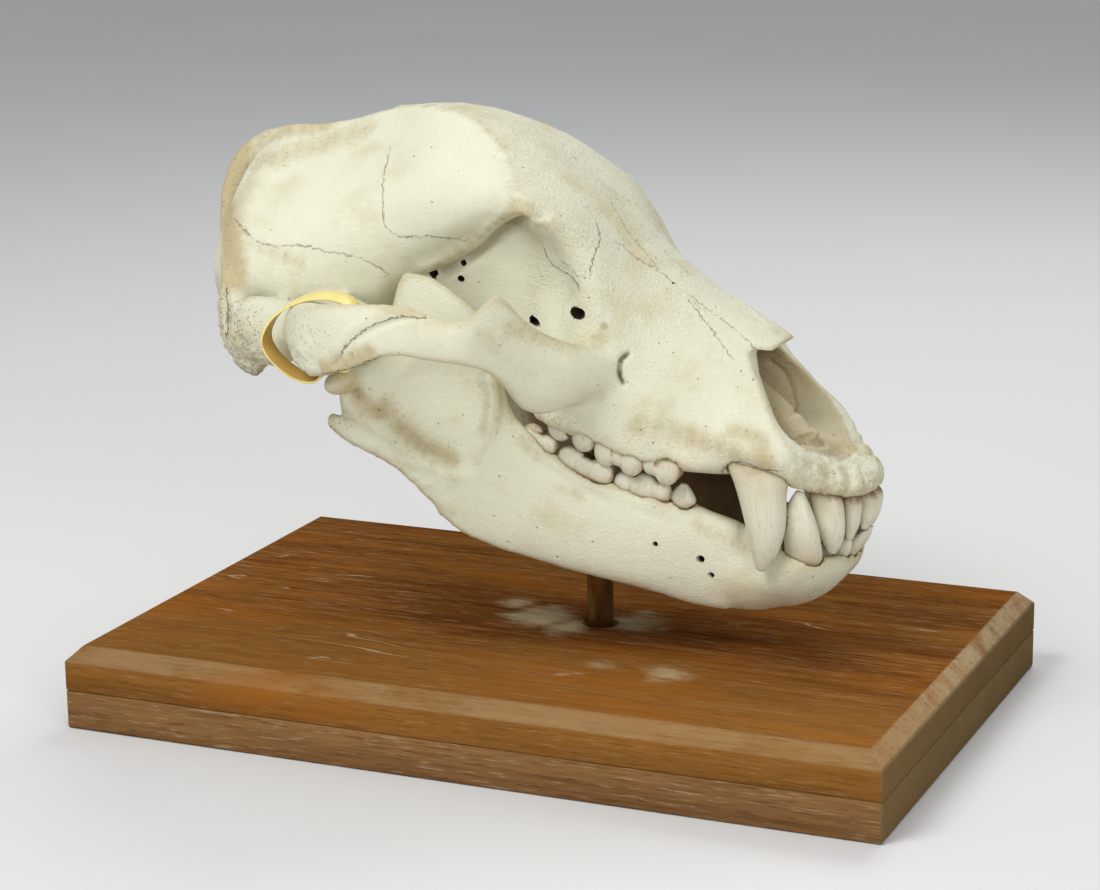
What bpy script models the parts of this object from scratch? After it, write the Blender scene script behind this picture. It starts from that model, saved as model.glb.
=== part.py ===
# A grizzly bear skull, jaw closed, carried nose-down by a brass post on a chamfered wooden base.
# The row frame has its origin under the middle of the base, +X towards the nose and +Z up.
# The bone and teeth are drawn in millimetres in a frame of their own, which SKULL_FRAME places.
import math

import bmesh
import bpy
from mathutils import Matrix, Vector

# The base, in metres
BASE_LENGTH = 0.4064
BASE_WIDTH = 0.2560
LOWER_BOARD_THICKNESS = 0.0187
UPPER_BOARD_THICKNESS = 0.0211
CHAMFER = 0.0070
CLEARANCE = 0.0003
BASE_HEIGHT = LOWER_BOARD_THICKNESS + CLEARANCE + UPPER_BOARD_THICKNESS

# The post, in metres
POST_RADIUS = 0.00635
POST_X = 0.0210
POST_COUNTERBORE_RADIUS = 0.0088
POST_COUNTERBORE_DEPTH = 0.0010
POST_TOP = 0.1680

# The skull's own frame: millimetres, x to the nose from the back of the upper cheek teeth,
# y to the animal's left, z up from the bite line
NOSE_DOWN = math.radians(10.0)
BITE_LINE_HEIGHT = 0.146
SKULL_FRAME = (
    Matrix.Translation((0.0, 0.0, BITE_LINE_HEIGHT))
    @ Matrix.Rotation(NOSE_DOWN, 4, "Y")
    @ Matrix.Scale(0.001, 4)
)

# Meshing of the bone, in millimetres and triangles
VOXEL = 1.7
CRANIUM_TRIANGLES = 1990
MANDIBLE_TRIANGLES = 740
SOCKET_GAP = 0.40

# Colours, roughness and metallic value
BONE = ((0.80, 0.74, 0.58), 0.55, 0.0)
ENAMEL = ((0.82, 0.74, 0.60), 0.35, 0.0)
WOOD = ((0.30, 0.14, 0.06), 0.50, 0.0)
WOOD_LOWER = ((0.34, 0.18, 0.08), 0.50, 0.0)
BRASS = ((0.42, 0.27, 0.12), 0.35, 1.0)
YELLOW_PLASTIC = ((0.85, 0.58, 0.10), 0.45, 0.0)

# The cranium's cross-sections: x, height of the mid-line above, nine points (y, z) of the left
# half from the crown round to the underside, and height of the mid-line below
CRANIUM_SECTIONS = (
    (-172, 91, (10, 88), (22, 79), (32, 66), (39, 52),
     (41, 40), (38, 28), (30, 18), (22, 12), (12, 9), 9),
    (-160, 103, (4, 100), (19, 89), (36, 75), (46, 60),
     (50, 45), (50, 32), (44, 20), (32, 11), (16, 7), 7),
    (-145, 108, (4, 105), (16, 94), (36, 79), (48, 62),
     (53, 47), (53, 34), (48, 20), (34, 8), (16, 6), 6),
    (-125, 115, (4, 112), (16, 101), (37, 85), (49, 68),
     (54, 52), (54, 38), (49, 22), (36, 7), (16, 5), 6),
    (-105, 124.5, (5, 121), (17, 110), (36, 93), (48, 75),
     (52, 58), (50, 42), (44, 26), (34, 11), (16, 7), 8),
    (-85, 131, (7, 130), (14, 127), (33, 109), (46, 90),
     (49, 72), (47, 52), (41, 34), (30, 18), (14, 11), 11),
    (-68, 132.5, (9, 132.5), (18, 130), (36, 118), (47, 99),
     (48, 80), (43, 62), (34, 44), (26, 26), (12, 18), 18),
    (-52, 132, (13, 132), (25, 128), (40, 118), (47, 102),
     (47, 86), (40, 74), (33, 62), (26, 36), (12, 26), 26),
    (-38, 130, (17, 129.5), (32, 123), (44, 112), (48, 99),
     (45, 90), (36, 82), (31, 64), (25, 36), (12, 30), 30),
    (-26, 127, (20, 126.5), (38, 119), (49, 109), (49, 100),
     (41, 92), (34, 80), (31, 62), (27, 32), (16, 28), 30),
    (-14, 122, (22, 122), (44, 113), (54, 105), (51, 99),
     (41, 91), (35, 76), (32, 55), (30, 26), (20, 22), 26),
    (-5, 117, (24, 117.5), (47, 109), (58, 102.5), (52, 97.5),
     (41, 86), (36, 68), (36, 50), (38, 12), (28, 10), 19),
    (5, 111.5, (22, 112), (41, 107.5), (51, 101.5), (50, 96),
     (43, 85), (39, 68), (43, 44), (45, 10), (31, 9), 17),
    (15, 104.5, (18, 105.5), (34, 101.8), (44, 97), (48, 90),
     (47, 79), (44, 66), (49, 42), (46.5, 9.5), (30, 8), 16),
    (24, 98.5, (14, 98.5), (27, 95.5), (38, 91.5), (45, 86),
     (50, 76), (52, 64), (54, 42), (47.5, 8), (30, 6), 15),
    (36, 90.5, (11, 90), (22, 86), (32, 81.5), (41, 75),
     (48, 65), (53, 53), (52, 32), (47.5, 5), (30, 3), 15),
    (52, 81.5, (10, 81), (18, 78), (28, 72.5), (36, 65.5),
     (42, 54.5), (46, 42), (48.5, 26), (47, 1), (30, 0.5), 15),
    (66, 74.5, (10, 74), (17, 72), (26, 67), (33, 59),
     (38, 49), (42, 37), (46, 22), (45.5, 0), (29, 0), 14),
    (84, 68.5, (10, 68.5), (17, 66), (24, 60.5), (30, 52),
     (35, 42), (38.5, 31), (42.5, 18), (43, 1.5), (27, 1), 13),
    (100, 63.5, (9, 63), (17, 60), (23, 54), (28, 46),
     (34, 38), (40.5, 29), (47, 18.5), (41.5, 5), (26, 2), 12),
    (112, 58.5, (8, 58), (16, 55), (23, 49.5), (29, 42.5),
     (35, 34.5), (42, 26.5), (49, 18.5), (42.5, 9), (26, 5), 11),
    (122, 53, (8, 51.5), (16, 48.5), (23, 43), (29.5, 37),
     (37.5, 30.5), (42.5, 24), (47.5, 18), (42, 8.5), (24, 5), 10),
    (132, 45, (8, 44), (16, 42), (22, 38), (28.5, 33),
     (36, 27.5), (39.5, 21), (41, 13.5), (36.5, 4.5), (20, 3), 8),
    (142, 28, (8, 28), (14, 26), (20, 22.5), (24.5, 18.5),
     (28.5, 14.5), (31, 10.5), (31, 6), (27, 1.5), (16, 1), 6),
    (152, 18, (5, 17.5), (10, 16), (15, 13.5), (19, 11),
     (22.5, 8.5), (24.5, 6), (24, 3.5), (20, 0.5), (12, 0), 3),
    (159.5, 13.5, (4, 13.3), (7, 12.5), (9.5, 11.5), (11.5, 10),
     (13, 8), (13.8, 6), (13.4, 3.5), (10, 1.5), (6, 1.5), 2.5),
    (163.5, 11, (2.5, 10.8), (4.5, 10.2), (5.8, 9.4), (6.8, 8.4),
     (7.4, 7.2), (7.4, 5.8), (6.8, 4.2), (5, 3), (3, 3), 3.5),
)
CRANIUM_ENDS = ((-174, 0, 48), (165, 0, 7))

# The cheek-bone arch from its root on the braincase to the face: x, y and z of its upper edge,
# y and z of its lower edge, thickness
ARCH_STATIONS = (
    (-96, 50, 43, 50, 24, 38),
    (-94, 70, 44, 68, 20, 35),
    (-92, 86, 46.5, 84, 18, 30),
    (-86, 98.5, 50, 97.5, 13.5, 18),
    (-76, 106, 54.5, 105, 16, 9),
    (-60, 108.5, 59, 108, 27, 7.5),
    (-42, 108, 62.5, 108, 38, 7),
    (-24, 104.5, 60.5, 104, 39.5, 7),
    (-12, 100, 61.5, 98.5, 39, 7),
    (-3, 94, 74, 90, 36.5, 7),
    (3, 88.5, 71, 79, 28, 9),
    (8, 83, 64, 68, 17, 12),
    (16, 74, 57, 61, 15, 15),
    (26, 65, 52, 54, 21, 18),
    (36, 54, 50, 48, 28, 14),
    (45, 45, 48, 42, 31, 10),
)

# The nuchal crest from the crown down to the mastoid: x, y, z, half its width
NUCHAL_CREST = (
    (-171, 0, 100, 6),
    (-180, 4, 93, 7),
    (-185, 10, 84, 8),
    (-184, 19, 73, 8),
    (-178.5, 30, 62.5, 8),
    (-171.5, 40, 52, 8),
    (-163.5, 50, 42, 8),
    (-157, 60, 31, 7),
    (-151.5, 68, 22, 7),
    (-144, 73, 12, 7),
    (-134, 72, 3, 6),
)
CREST_HALF_THICKNESS = 3.0
BRAIN_CENTRE = Vector((-120, 0, 50))

# Knobs of the skull's rear and underside, on each side: centre and half-sizes
CRANIUM_KNOBS = (
    ((-164, 19, 9), (12, 10, 12)),
    ((-166, 15, 2), (10, 9, 7)),
    ((-126, 66, 18), (20, 13, 14)),
    ((-110, 34, 9), (24, 15, 10)),
    ((-93, 72, 21), (5, 20, 10)),
    ((-118, 62, 30), (26, 8, 6)),
    ((18, 40, 17), (17, 8, 8)),
)

# The keel along the top of the braincase: x, y, top, bottom, thickness
TOP_KEEL = (
    (-173, 0, 97.5, 86, 6),
    (-164, 0, 103, 90, 6),
    (-148, 0, 107.5, 94, 6),
    (-135, 0, 110, 98, 7),
    (-124, 0, 115.5, 103, 8),
    (-112, 0, 121.5, 108, 9),
    (-100, 0, 126.5, 112, 10),
)

# The blunt process that hangs down behind each ear: x, y, top, bottom, thickness
MASTOID_STATIONS = (
    (-156, 48, 34, 12, 14),
    (-149, 56, 32, 6, 17),
    (-141, 62, 28, 1, 18),
    (-133, 65, 22, -4, 15),
    (-126, 68, 16, -2, 10),
)

# The plate beside the rear opening of the nose: x, y, top, bottom, thickness
PTERYGOID_STATIONS = (
    (-58, 15, 30, 20, 4),
    (-48, 17, 34, 8, 4),
    (-34, 19, 34, 12, 4),
    (-20, 21, 32, 14, 5),
    (-8, 23, 30, 16, 5),
)

# The nose opening: the side view of what is cut away above its rim, x and z
NOSE_RIM = (
    (98.5, 57),
    (102, 52.5),
    (106.5, 47),
    (113, 40),
    (118.5, 33.5),
    (124, 28.8),
    (129.5, 24.8),
    (135, 20.8),
    (140, 17.8),
    (146, 15),
    (152, 12.5),
    (170, 11),
)
NASAL_TIP = (107, 57.5)

# The rest of that cut, clear of the bone in front and above
NOSE_FRONT = ((185, 11), (185, 110), (113, 110), (107, 62))
NOSE_CUT_HALF_WIDTH = 60

# The nose cavity behind it: x, half-width, top, bottom
NOSE_CAVITY = (
    (62, 6, 52, 34),
    (72, 14, 58, 24),
    (86, 18, 58, 20),
    (100, 22, 56, 17),
    (112, 28, 50, 15.5),
    (122, 32.5, 46, 15),
    (131, 31, 42, 14.5),
    (140, 22, 38, 14),
    (147, 12, 30, 14),
)
NOSE_CAVITY_ENDS = ((60, 0, 43), (151, 0, 22))

# The low ridge of thin scrolled bone left standing in it: x, half-width, top, bottom
TURBINATE = (
    (70, 3, 44, 20),
    (88, 6, 44, 14),
    (104, 7, 36, 12),
    (118, 6, 28, 12),
    (128, 3, 20, 12),
)
TURBINATE_ENDS = ((58, 0, 32), (131, 0, 14))

# The chin's cross-sections: x, mid-line above, points (y, z) of the left half, mid-line below
CHIN_SECTIONS = (
    (157.5, -28, (6, -28), (12, -28), (14.5, -32), (11.5, -36.5), (6, -38.5), -38.5),
    (150.5, -31, (10, -30), (25, -27.5), (29, -33.5), (24, -42), (12, -48.5), -49),
    (141, -36, (12, -33), (33, -27.5), (37.5, -34), (32, -46), (16, -56), -57),
    (130, -40, (12, -35), (30.5, -26.5), (35.5, -34), (33, -48), (18, -60.5), -61),
    (118, -46, (12, -40), (24, -24), (31, -32), (32, -50), (21, -64.5), -65),
    (106, -52, (12, -46), (22, -23), (30, -31), (33, -50), (23, -66), -65),
    (96, -57, (14, -50), (22, -22), (31, -31), (34, -50), (25, -66), -64),
)
CHIN_ENDS = ((160.5, 0, -32), (91, 0, -61))

# One jaw half from the canine to the hinge: x, y and z of its top edge, y and z of its lower
# edge, thickness
JAW_STATIONS = (
    (108, 26, -22, 24, -66.5, 14),
    (92, 28, -19.5, 27, -67, 16),
    (76, 31, -15.5, 32, -64.5, 18),
    (56, 34, -13.5, 36, -63.5, 19),
    (36, 36, -11, 39, -63, 19),
    (16, 39.5, -6.5, 43, -61.5, 17),
    (2, 43, 0, 46, -60.5, 14),
    (-8, 47, 14, 48, -59, 12),
    (-16, 50, 40, 51, -57, 11),
    (-25, 52.5, 51.5, 53.5, -52.5, 11),
    (-36, 55, 58.5, 57, -43, 10),
    (-48, 57, 64, 60, -34, 9),
    (-57, 58.5, 65, 62, -29, 9),
    (-64.5, 60, 61, 63, -26.5, 9),
    (-67.5, 62, 30, 64, -25, 10),
    (-77, 65, 14, 66, -19, 11),
)
JAW_ENDS = ((110, 25, -44), (-83, 66, -3))

# The hook below the hinge: x, y, top, bottom, thickness
ANGLE_STATIONS = (
    (-58, 62, -14, -28, 9),
    (-70, 64, -12, -25, 9),
    (-80, 66, -11, -21.5, 8),
    (-88, 67, -9.5, -16.5, 6),
)
HINGE_KNOB = ((-77.5, 75, 11), (6.5, 21.5, 6.5))
HINGE_ROOM = 4.0

# The hollow on the outer side that held the jaw muscle: centre, half-sizes, turn about z
MUSCLE_HOLLOW = ((-31, 71.5, 2), (40, 16, 46), math.radians(-14))

# Round holes: centre of the mouth, direction into the bone, radius, depth
CRANIUM_HOLES = (
    ((17, 46, 58), (1.0, -0.6, 0.0), 3.0, 12),
)
# The opening on the face below the orbit: centre and half-sizes
FACE_OPENING = ((46.5, 50.5, 42.5), (5, 4.5, 8.5))
SPINE_HOLE = ((-184, 0, 21), (1.0, 0.0, 0.0), 12.5, 34)
CHOANA = ((-22, 0, 26), (20, 10, 9))
JAW_HOLES = (
    ((69, 42, -44), (0.0, -1.0, 0.0), 2.0, 9),
    ((93, 36, -46), (0.0, -1.0, 0.0), 2.2, 9),
)

# Teeth of one side. Each ring: centre x, y, z, half-length along x, half-width along y.
# The first ring is the root's end and the last is the top of the crown.
SINGLE_TEETH = {
    "upper_incisor_1": (
        (153, 4.0, 9, 2.0, 1.8),
        (157.6, 4.1, 5, 2.8, 2.8),
        (162, 4.2, 0, 4.2, 3.6),
        (162.8, 4.3, -9, 3.7, 3.7),
        (162.6, 4.3, -15.5, 1.7, 3.1),
    ),
    "upper_incisor_2": (
        (146, 11, 12, 2.2, 2.0),
        (151.5, 11.8, 5, 3.4, 3.0),
        (156.8, 12.2, -1, 4.2, 3.6),
        (159.0, 12.3, -11, 3.8, 3.7),
        (159.2, 12.1, -19.6, 1.7, 2.7),
    ),
    "upper_incisor_3": (
        (133, 18.5, 14, 2.5, 2.5),
        (139, 20.2, 6, 5.0, 3.6),
        (144.8, 21.8, 0, 7.2, 4.3),
        (148.6, 21.9, -12, 7.2, 4.3),
        (150.6, 21.4, -19.5, 5.4, 3.4),
        (151.8, 20.8, -26, 2.0, 1.7),
    ),
    "upper_canine": (
        (84, 30, 36, 3.0, 3.0),
        (98, 31.5, 26, 10.0, 6.4),
        (112.6, 36.4, 11.5, 15.0, 9.2),
        (118.2, 38.4, 0, 12.2, 8.8),
        (123.2, 39.8, -14, 9.8, 7.4),
        (125.2, 40.2, -26, 6.8, 5.2),
        (125.6, 40.0, -36.8, 2.2, 2.0),
    ),
    "lower_incisor_1": (
        (147, 3.2, -42, 1.6, 1.4),
        (151.8, 3.4, -36, 2.6, 2.2),
        (156, 3.7, -30, 3.2, 2.8),
        (160.2, 3.8, -22.5, 3.0, 3.0),
        (163.4, 3.8, -17.5, 1.3, 2.6),
    ),
    "lower_incisor_2": (
        (144, 8.8, -43, 1.6, 1.5),
        (148.6, 9.4, -36.5, 2.8, 2.2),
        (152.6, 10.0, -30.5, 3.4, 2.6),
        (154.6, 10.2, -24, 3.0, 2.7),
        (154.9, 10.3, -18.6, 1.2, 2.2),
    ),
    "lower_incisor_3": (
        (140.5, 13.8, -43, 1.8, 1.6),
        (143.6, 14.8, -36.5, 2.8, 2.2),
        (146.6, 15.7, -30.5, 3.4, 2.4),
        (148.4, 15.9, -24, 3.0, 2.2),
        (148.6, 15.7, -17.5, 1.3, 1.6),
    ),
    "lower_canine": (
        (124, 18, -52, 3.5, 3.0),
        (133.5, 22.5, -42, 7.0, 5.4),
        (141.6, 27.4, -30, 8.2, 6.2),
        (140.4, 30.8, -18, 8.3, 5.6),
        (138, 31.6, -9, 6.8, 4.9),
        (136.4, 31.5, -2.5, 4.2, 3.6),
        (135.4, 31.2, 1.8, 2.0, 1.8),
    ),
    "lower_premolar_4": (
        (78.6, 31.5, -30, 2.0, 1.6),
        (79.2, 31.5, -23.5, 2.4, 2.0),
        (79.8, 31.6, -19, 5.0, 3.4),
        (80.0, 31.6, -15.5, 6.2, 3.8),
        (79.4, 31.6, -9.8, 1.6, 1.4),
    ),
}

# Cheek teeth of one side: x from and to, y, half-width, gum height at the rear and the front,
# cusp height at the rear and the front, number of cusps along each side
CHEEK_TEETH = {
    "upper_premolar_4": (62.2, 80.8, 38.0, 7.0, 4.0, 3.0, -7.6, -8.4, 1),
    "upper_molar_1": (37.0, 61.8, 37.8, 8.4, 5.0, 4.0, -7.2, -8.8, 2),
    "upper_molar_2": (3.0, 36.6, 37.2, 9.0, 13.0, 9.2, 4.8, -5.4, 3),
    "lower_molar_1": (47.4, 73.6, 33.6, 6.0, -19.5, -18.6, -10.4, -9.8, 2),
    "lower_molar_2": (18.4, 46.8, 36.0, 6.8, -13.0, -16.8, -4.4, -9.6, 2),
    "lower_molar_3": (0.4, 17.8, 39.4, 6.2, -3.0, -9.6, 3.6, -2.8, 1),
}
ROOT_LENGTH = 9.0
# How far a pointed tooth runs on past its last rings, as shares of the last step
ROOT_RUN_OUT = 0.25
TIP_RUN_OUT = 0.1
# A cheek tooth's rings: share of its full outline, and height as a share from gum to cusp (-1 the root)
CROWN_RINGS = ((0.62, -1.0), (0.84, 0.0), (1.0, 0.45), (0.84, 1.0))
CUSP_RELIEF = 1.3
BASIN_DEPTH = 2.4

# The numbered band: its loop seen from the side, x, y, z, and its section
BAND_LOOP = (
    (-117, 87, 25),
    (-112, 87, 39),
    (-98, 86, 50),
    (-84, 84, 54),
    (-74, 83, 50),
    (-69, 83, 32),
    (-71.5, 84, 20.5),
    (-81, 84, 18.6),
    (-87.5, 85, 11),
    (-98, 86, 10.5),
    (-110, 87, 16.5),
)
BAND_WIDTH = 9.0
BAND_THICKNESS = 1.2

for old in list(bpy.data.objects):
    bpy.data.objects.remove(old, do_unlink=True)
SPECIMEN = bpy.data.collections.new("bear_skull_on_base")
CUTTERS = bpy.data.collections.new("cutters")
bpy.context.scene.collection.children.link(SPECIMEN)
bpy.context.scene.collection.children.link(CUTTERS)


def coloured(piece, finish):
    """Gives a piece a material of its own."""
    colour, roughness, metallic = finish
    material = bpy.data.materials.new(piece.name)
    material.use_nodes = True
    shader = material.node_tree.nodes["Principled BSDF"]
    shader.inputs["Base Color"].default_value = (*colour, 1.0)
    shader.inputs["Roughness"].default_value = roughness
    shader.inputs["Metallic"].default_value = metallic
    piece.data.materials.clear()
    piece.data.materials.append(material)
    return piece


def piece_from(bm, name, collection):
    """Turns a bmesh into a named object."""
    bmesh.ops.recalc_face_normals(bm, faces=bm.faces)
    if bm.calc_volume(signed=True) < 0:
        bmesh.ops.reverse_faces(bm, faces=bm.faces)
    mesh = bpy.data.meshes.new(name)
    bm.to_mesh(mesh)
    bm.free()
    piece = bpy.data.objects.new(name, mesh)
    collection.objects.link(piece)
    return piece


def through(stations, steps):
    """Points of a smooth curve through stations, each a list of numbers, with steps to a span."""
    rows = [Vector(station) for station in stations]
    rows = [rows[0] * 2 - rows[1]] + rows + [rows[-1] * 2 - rows[-2]]
    points = []
    for before, start, end, after in zip(rows, rows[1:], rows[2:], rows[3:]):
        for step in range(steps):
            t = step / steps
            points.append(
                (
                    start * 2
                    + (end - before) * t
                    + (before * 2 - start * 5 + end * 4 - after) * t**2
                    + (start * 3 - before - end * 3 + after) * t**3
                )
                / 2
            )
    return points + [rows[-2]]


def closed_through(stations, steps):
    """The same for a closed loop."""
    loop = [stations[-1], *stations, stations[0], stations[1]]
    return through(loop, steps)[steps : -steps - 1][: len(stations) * steps]


def body_through(name, rings, ends, collection=CUTTERS):
    """A closed body: a sphere whose circles of vertices are moved onto rings, and its poles to ends."""
    around = len(rings[0])
    along = len(rings) + 1
    bm = bmesh.new()
    bmesh.ops.create_uvsphere(bm, u_segments=around, v_segments=along, radius=1.0)
    for vertex in bm.verts:
        row = round(math.acos(max(-1.0, min(1.0, vertex.co.z))) * along / math.pi)
        turn = round(math.atan2(vertex.co.y, vertex.co.x) * around / math.tau) % around
        if row == 0:
            vertex.co = ends[0]
        elif row == along:
            vertex.co = ends[1]
        else:
            vertex.co = rings[row - 1][turn]
    return piece_from(bm, name, collection)


def loft(name, sections, ends, steps=3, corner_steps=3):
    """A body alike on both sides of y = 0, through half-sections."""
    flat = []
    for x, top, *side, bottom in sections:
        flat.append([x, top, *[value for point in side for value in point], bottom])
    rings = []
    for row in through(flat, steps):
        x, top, *values, bottom = row
        half = list(zip(values[0::2], values[1::2]))
        outline = [(0.0, top), *half, (0.0, bottom), *[(-y, z) for y, z in reversed(half)]]
        rings.append([(x, y, z) for y, z in closed_through(outline, corner_steps)])
    return body_through(name, rings, ends)


def oval(centre, half_up, half_across, around):
    """A ring of points about a centre."""
    turns = [math.tau * k / around for k in range(around)]
    return [centre + half_up * math.cos(turn) + half_across * math.sin(turn) for turn in turns]


def bar(name, stations, side, steps=3, around=14, ends=None):
    """A bar that stands on edge: x, y, top, bottom, thickness at each station, on one side."""
    upright = [(x, y, top, y, bottom, thickness) for x, y, top, bottom, thickness in stations]
    return leaning_bar(name, upright, side, steps, around, ends)


def leaning_bar(name, stations, side, steps=3, around=14, ends=None):
    """The same with its own y for the upper and the lower edge."""
    rows = through(stations, steps)
    rings = []
    for k, (x, upper_y, top, lower_y, bottom, thickness) in enumerate(rows):
        before, after = rows[max(k - 1, 0)], rows[min(k + 1, len(rows) - 1)]
        run = Vector((after[0] - before[0], after[1] + after[3] - before[1] - before[3], 0.0))
        run.y *= 0.5
        across = Vector((-run.y, run.x, 0.0)).normalized() * thickness / 2
        upper, lower = Vector((x, upper_y, top)), Vector((x, lower_y, bottom))
        rings.append(oval((upper + lower) / 2, (upper - lower) / 2, across, around))
    if ends is None:
        ends = [sum(rings[k], Vector()) / around for k in (0, -1)]
    for ring in rings:
        for point in ring:
            point.y *= side
    return body_through(name, rings, [(x, y * side, z) for x, y, z in ends])


def knob(name, centre, half_sizes, side=1, turn=0.0, fineness=20):
    """A rounded lump, or the cutter for a rounded hollow."""
    bm = bmesh.new()
    bmesh.ops.create_uvsphere(bm, u_segments=fineness, v_segments=fineness // 2, radius=1.0)
    place = (
        Matrix.Translation((centre[0], centre[1] * side, centre[2]))
        @ Matrix.Rotation(turn * side, 4, "Z")
        @ Matrix.Diagonal((*half_sizes, 1.0))
    )
    bmesh.ops.transform(bm, matrix=place, verts=bm.verts)
    return piece_from(bm, name, CUTTERS)


def drill(name, mouth, direction, radius, depth, side=1, sides=12):
    """A round cutter from outside the mouth down to depth."""
    axis = Vector((direction[0], direction[1] * side, direction[2])).normalized()
    bm = bmesh.new()
    size = {"radius1": radius, "radius2": radius, "depth": 2 * depth}
    bmesh.ops.create_cone(bm, cap_ends=True, segments=sides, **size)
    turned = axis.to_track_quat("Z", "Y").to_matrix().to_4x4()
    place = Matrix.Translation((mouth[0], mouth[1] * side, mouth[2])) @ turned
    bmesh.ops.transform(bm, matrix=place, verts=bm.verts)
    return piece_from(bm, name, CUTTERS)


def crest(side):
    """The raised edge round the back of the skull, on one side."""
    rows = through(NUCHAL_CREST, 3)
    rings = []
    for k, (x, y, z, half_width) in enumerate(rows):
        before, after = rows[max(k - 1, 0)], rows[min(k + 1, len(rows) - 1)]
        along = (after - before).to_3d().normalized()
        centre = Vector((x, y, z))
        outward = (centre - BRAIN_CENTRE).normalized()
        across = along.cross(outward).normalized()
        outward = across.cross(along)
        centre -= outward * half_width
        rings.append(oval(centre, outward * half_width, across * CREST_HALF_THICKNESS, 10))
    ends = [sum(rings[k], Vector()) / len(rings[k]) for k in (0, -1)]
    for ring in rings:
        for point in ring:
            point.y *= side
    return body_through("crest", rings, [(x, y * side, z) for x, y, z in ends])


def grown_together(name, forms, triangles):
    """Joins overlapping forms into one smooth skin of about this many triangles."""
    bm = bmesh.new()
    for form in forms:
        bm.from_mesh(form.data)
        bpy.data.objects.remove(form, do_unlink=True)
    whole = piece_from(bm, name, SPECIMEN)
    skin = whole.modifiers.new("skin", "REMESH")
    skin.mode = "VOXEL"
    skin.voxel_size = VOXEL
    relax = whole.modifiers.new("relax", "SMOOTH")
    relax.factor = 0.5
    relax.iterations = 5
    settle(whole)
    thin = whole.modifiers.new("thin", "DECIMATE")
    thin.ratio = triangles / (2 * len(whole.data.polygons))
    settle(whole)
    return whole


def settle(piece):
    """Applies a piece's modifiers."""
    bpy.context.view_layer.update()
    seen = piece.evaluated_get(bpy.context.evaluated_depsgraph_get())
    mesh = bpy.data.meshes.new_from_object(seen)
    piece.modifiers.clear()
    piece.data = mesh


def cut(piece, cutters):
    """Takes each cutter out of a piece."""
    for cutter in cutters:
        cutter.hide_render = True
        away = piece.modifiers.new(cutter.name, "BOOLEAN")
        away.operation = "DIFFERENCE"
        away.solver = "EXACT"
        away.object = cutter
        settle(piece)


def level_body(name, stations, ends, around):
    """A body along the middle of the skull: x, half-width, top, bottom at each station."""
    rings = []
    for x, half_width, top, bottom in stations:
        centre = Vector((x, 0, (top + bottom) / 2))
        rings.append(oval(centre, Vector((0, 0, (top - bottom) / 2)), Vector((0, half_width, 0)), around))
    return body_through(name, rings, ends)


def side_name(side):
    return "left" if side > 0 else "right"


def plate(name, outline, half_width):
    """A flat outline in x and z, made equally thick to both sides of the skull's middle."""
    curve = bpy.data.curves.new(name, "CURVE")
    curve.dimensions = "2D"
    curve.fill_mode = "BOTH"
    curve.extrude = half_width
    spline = curve.splines.new("POLY")
    spline.points.add(len(outline) - 1)
    for point, (x, z) in zip(spline.points, outline):
        point.co = (x, z, 0.0, 1.0)
    spline.use_cyclic_u = True
    drawn = bpy.data.objects.new(name, curve)
    CUTTERS.objects.link(drawn)
    bpy.context.view_layer.update()
    seen = drawn.evaluated_get(bpy.context.evaluated_depsgraph_get())
    bm = bmesh.new()
    bm.from_mesh(bpy.data.meshes.new_from_object(seen))
    bpy.data.objects.remove(drawn, do_unlink=True)
    bmesh.ops.remove_doubles(bm, verts=bm.verts, dist=0.01)
    bmesh.ops.transform(bm, matrix=Matrix.Rotation(math.pi / 2, 4, "X"), verts=bm.verts)
    return piece_from(bm, name, CUTTERS)


def nose_cutters():
    """The slanting cut that opens the nose, and the cavity behind it."""
    slant = plate("nose_opening", [*NOSE_RIM, *NOSE_FRONT, NASAL_TIP], NOSE_CUT_HALF_WIDTH)
    cavity = level_body("nose_cavity", NOSE_CAVITY, NOSE_CAVITY_ENDS, 14)
    cut(cavity, [level_body("turbinate", TURBINATE, TURBINATE_ENDS, 8)])
    return [slant, cavity]


def cranium():
    """The upper skull: braincase, face, arches, crests and knobs grown together."""
    forms = [loft("skull_body", CRANIUM_SECTIONS, CRANIUM_ENDS)]
    for side in (1, -1):
        forms.append(leaning_bar("arch", ARCH_STATIONS, side))
        forms.append(bar("pterygoid", PTERYGOID_STATIONS, side, around=10))
        forms.append(bar("mastoid", MASTOID_STATIONS, side, around=12))
        forms.append(crest(side))
        for centre, half_sizes in CRANIUM_KNOBS:
            forms.append(knob("knob", centre, half_sizes, side))
    forms.append(bar("top_keel", TOP_KEEL, 1, around=8))
    whole = grown_together("cranium", forms, CRANIUM_TRIANGLES)
    cutters = nose_cutters()
    cutters.append(drill("spine_hole", *SPINE_HOLE, sides=14))
    cutters.append(knob("choana", *CHOANA, fineness=12))
    for side in (1, -1):
        centre, half_sizes = HINGE_KNOB
        roomy = [half + HINGE_ROOM for half in half_sizes]
        cutters.append(knob("hinge_socket", centre, roomy, side, fineness=14))
        cutters.append(knob("face_opening", *FACE_OPENING, side, fineness=10))
        for hole in CRANIUM_HOLES:
            cutters.append(drill("hole", *hole, side=side, sides=8))
    cut(whole, cutters)
    return whole


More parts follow.
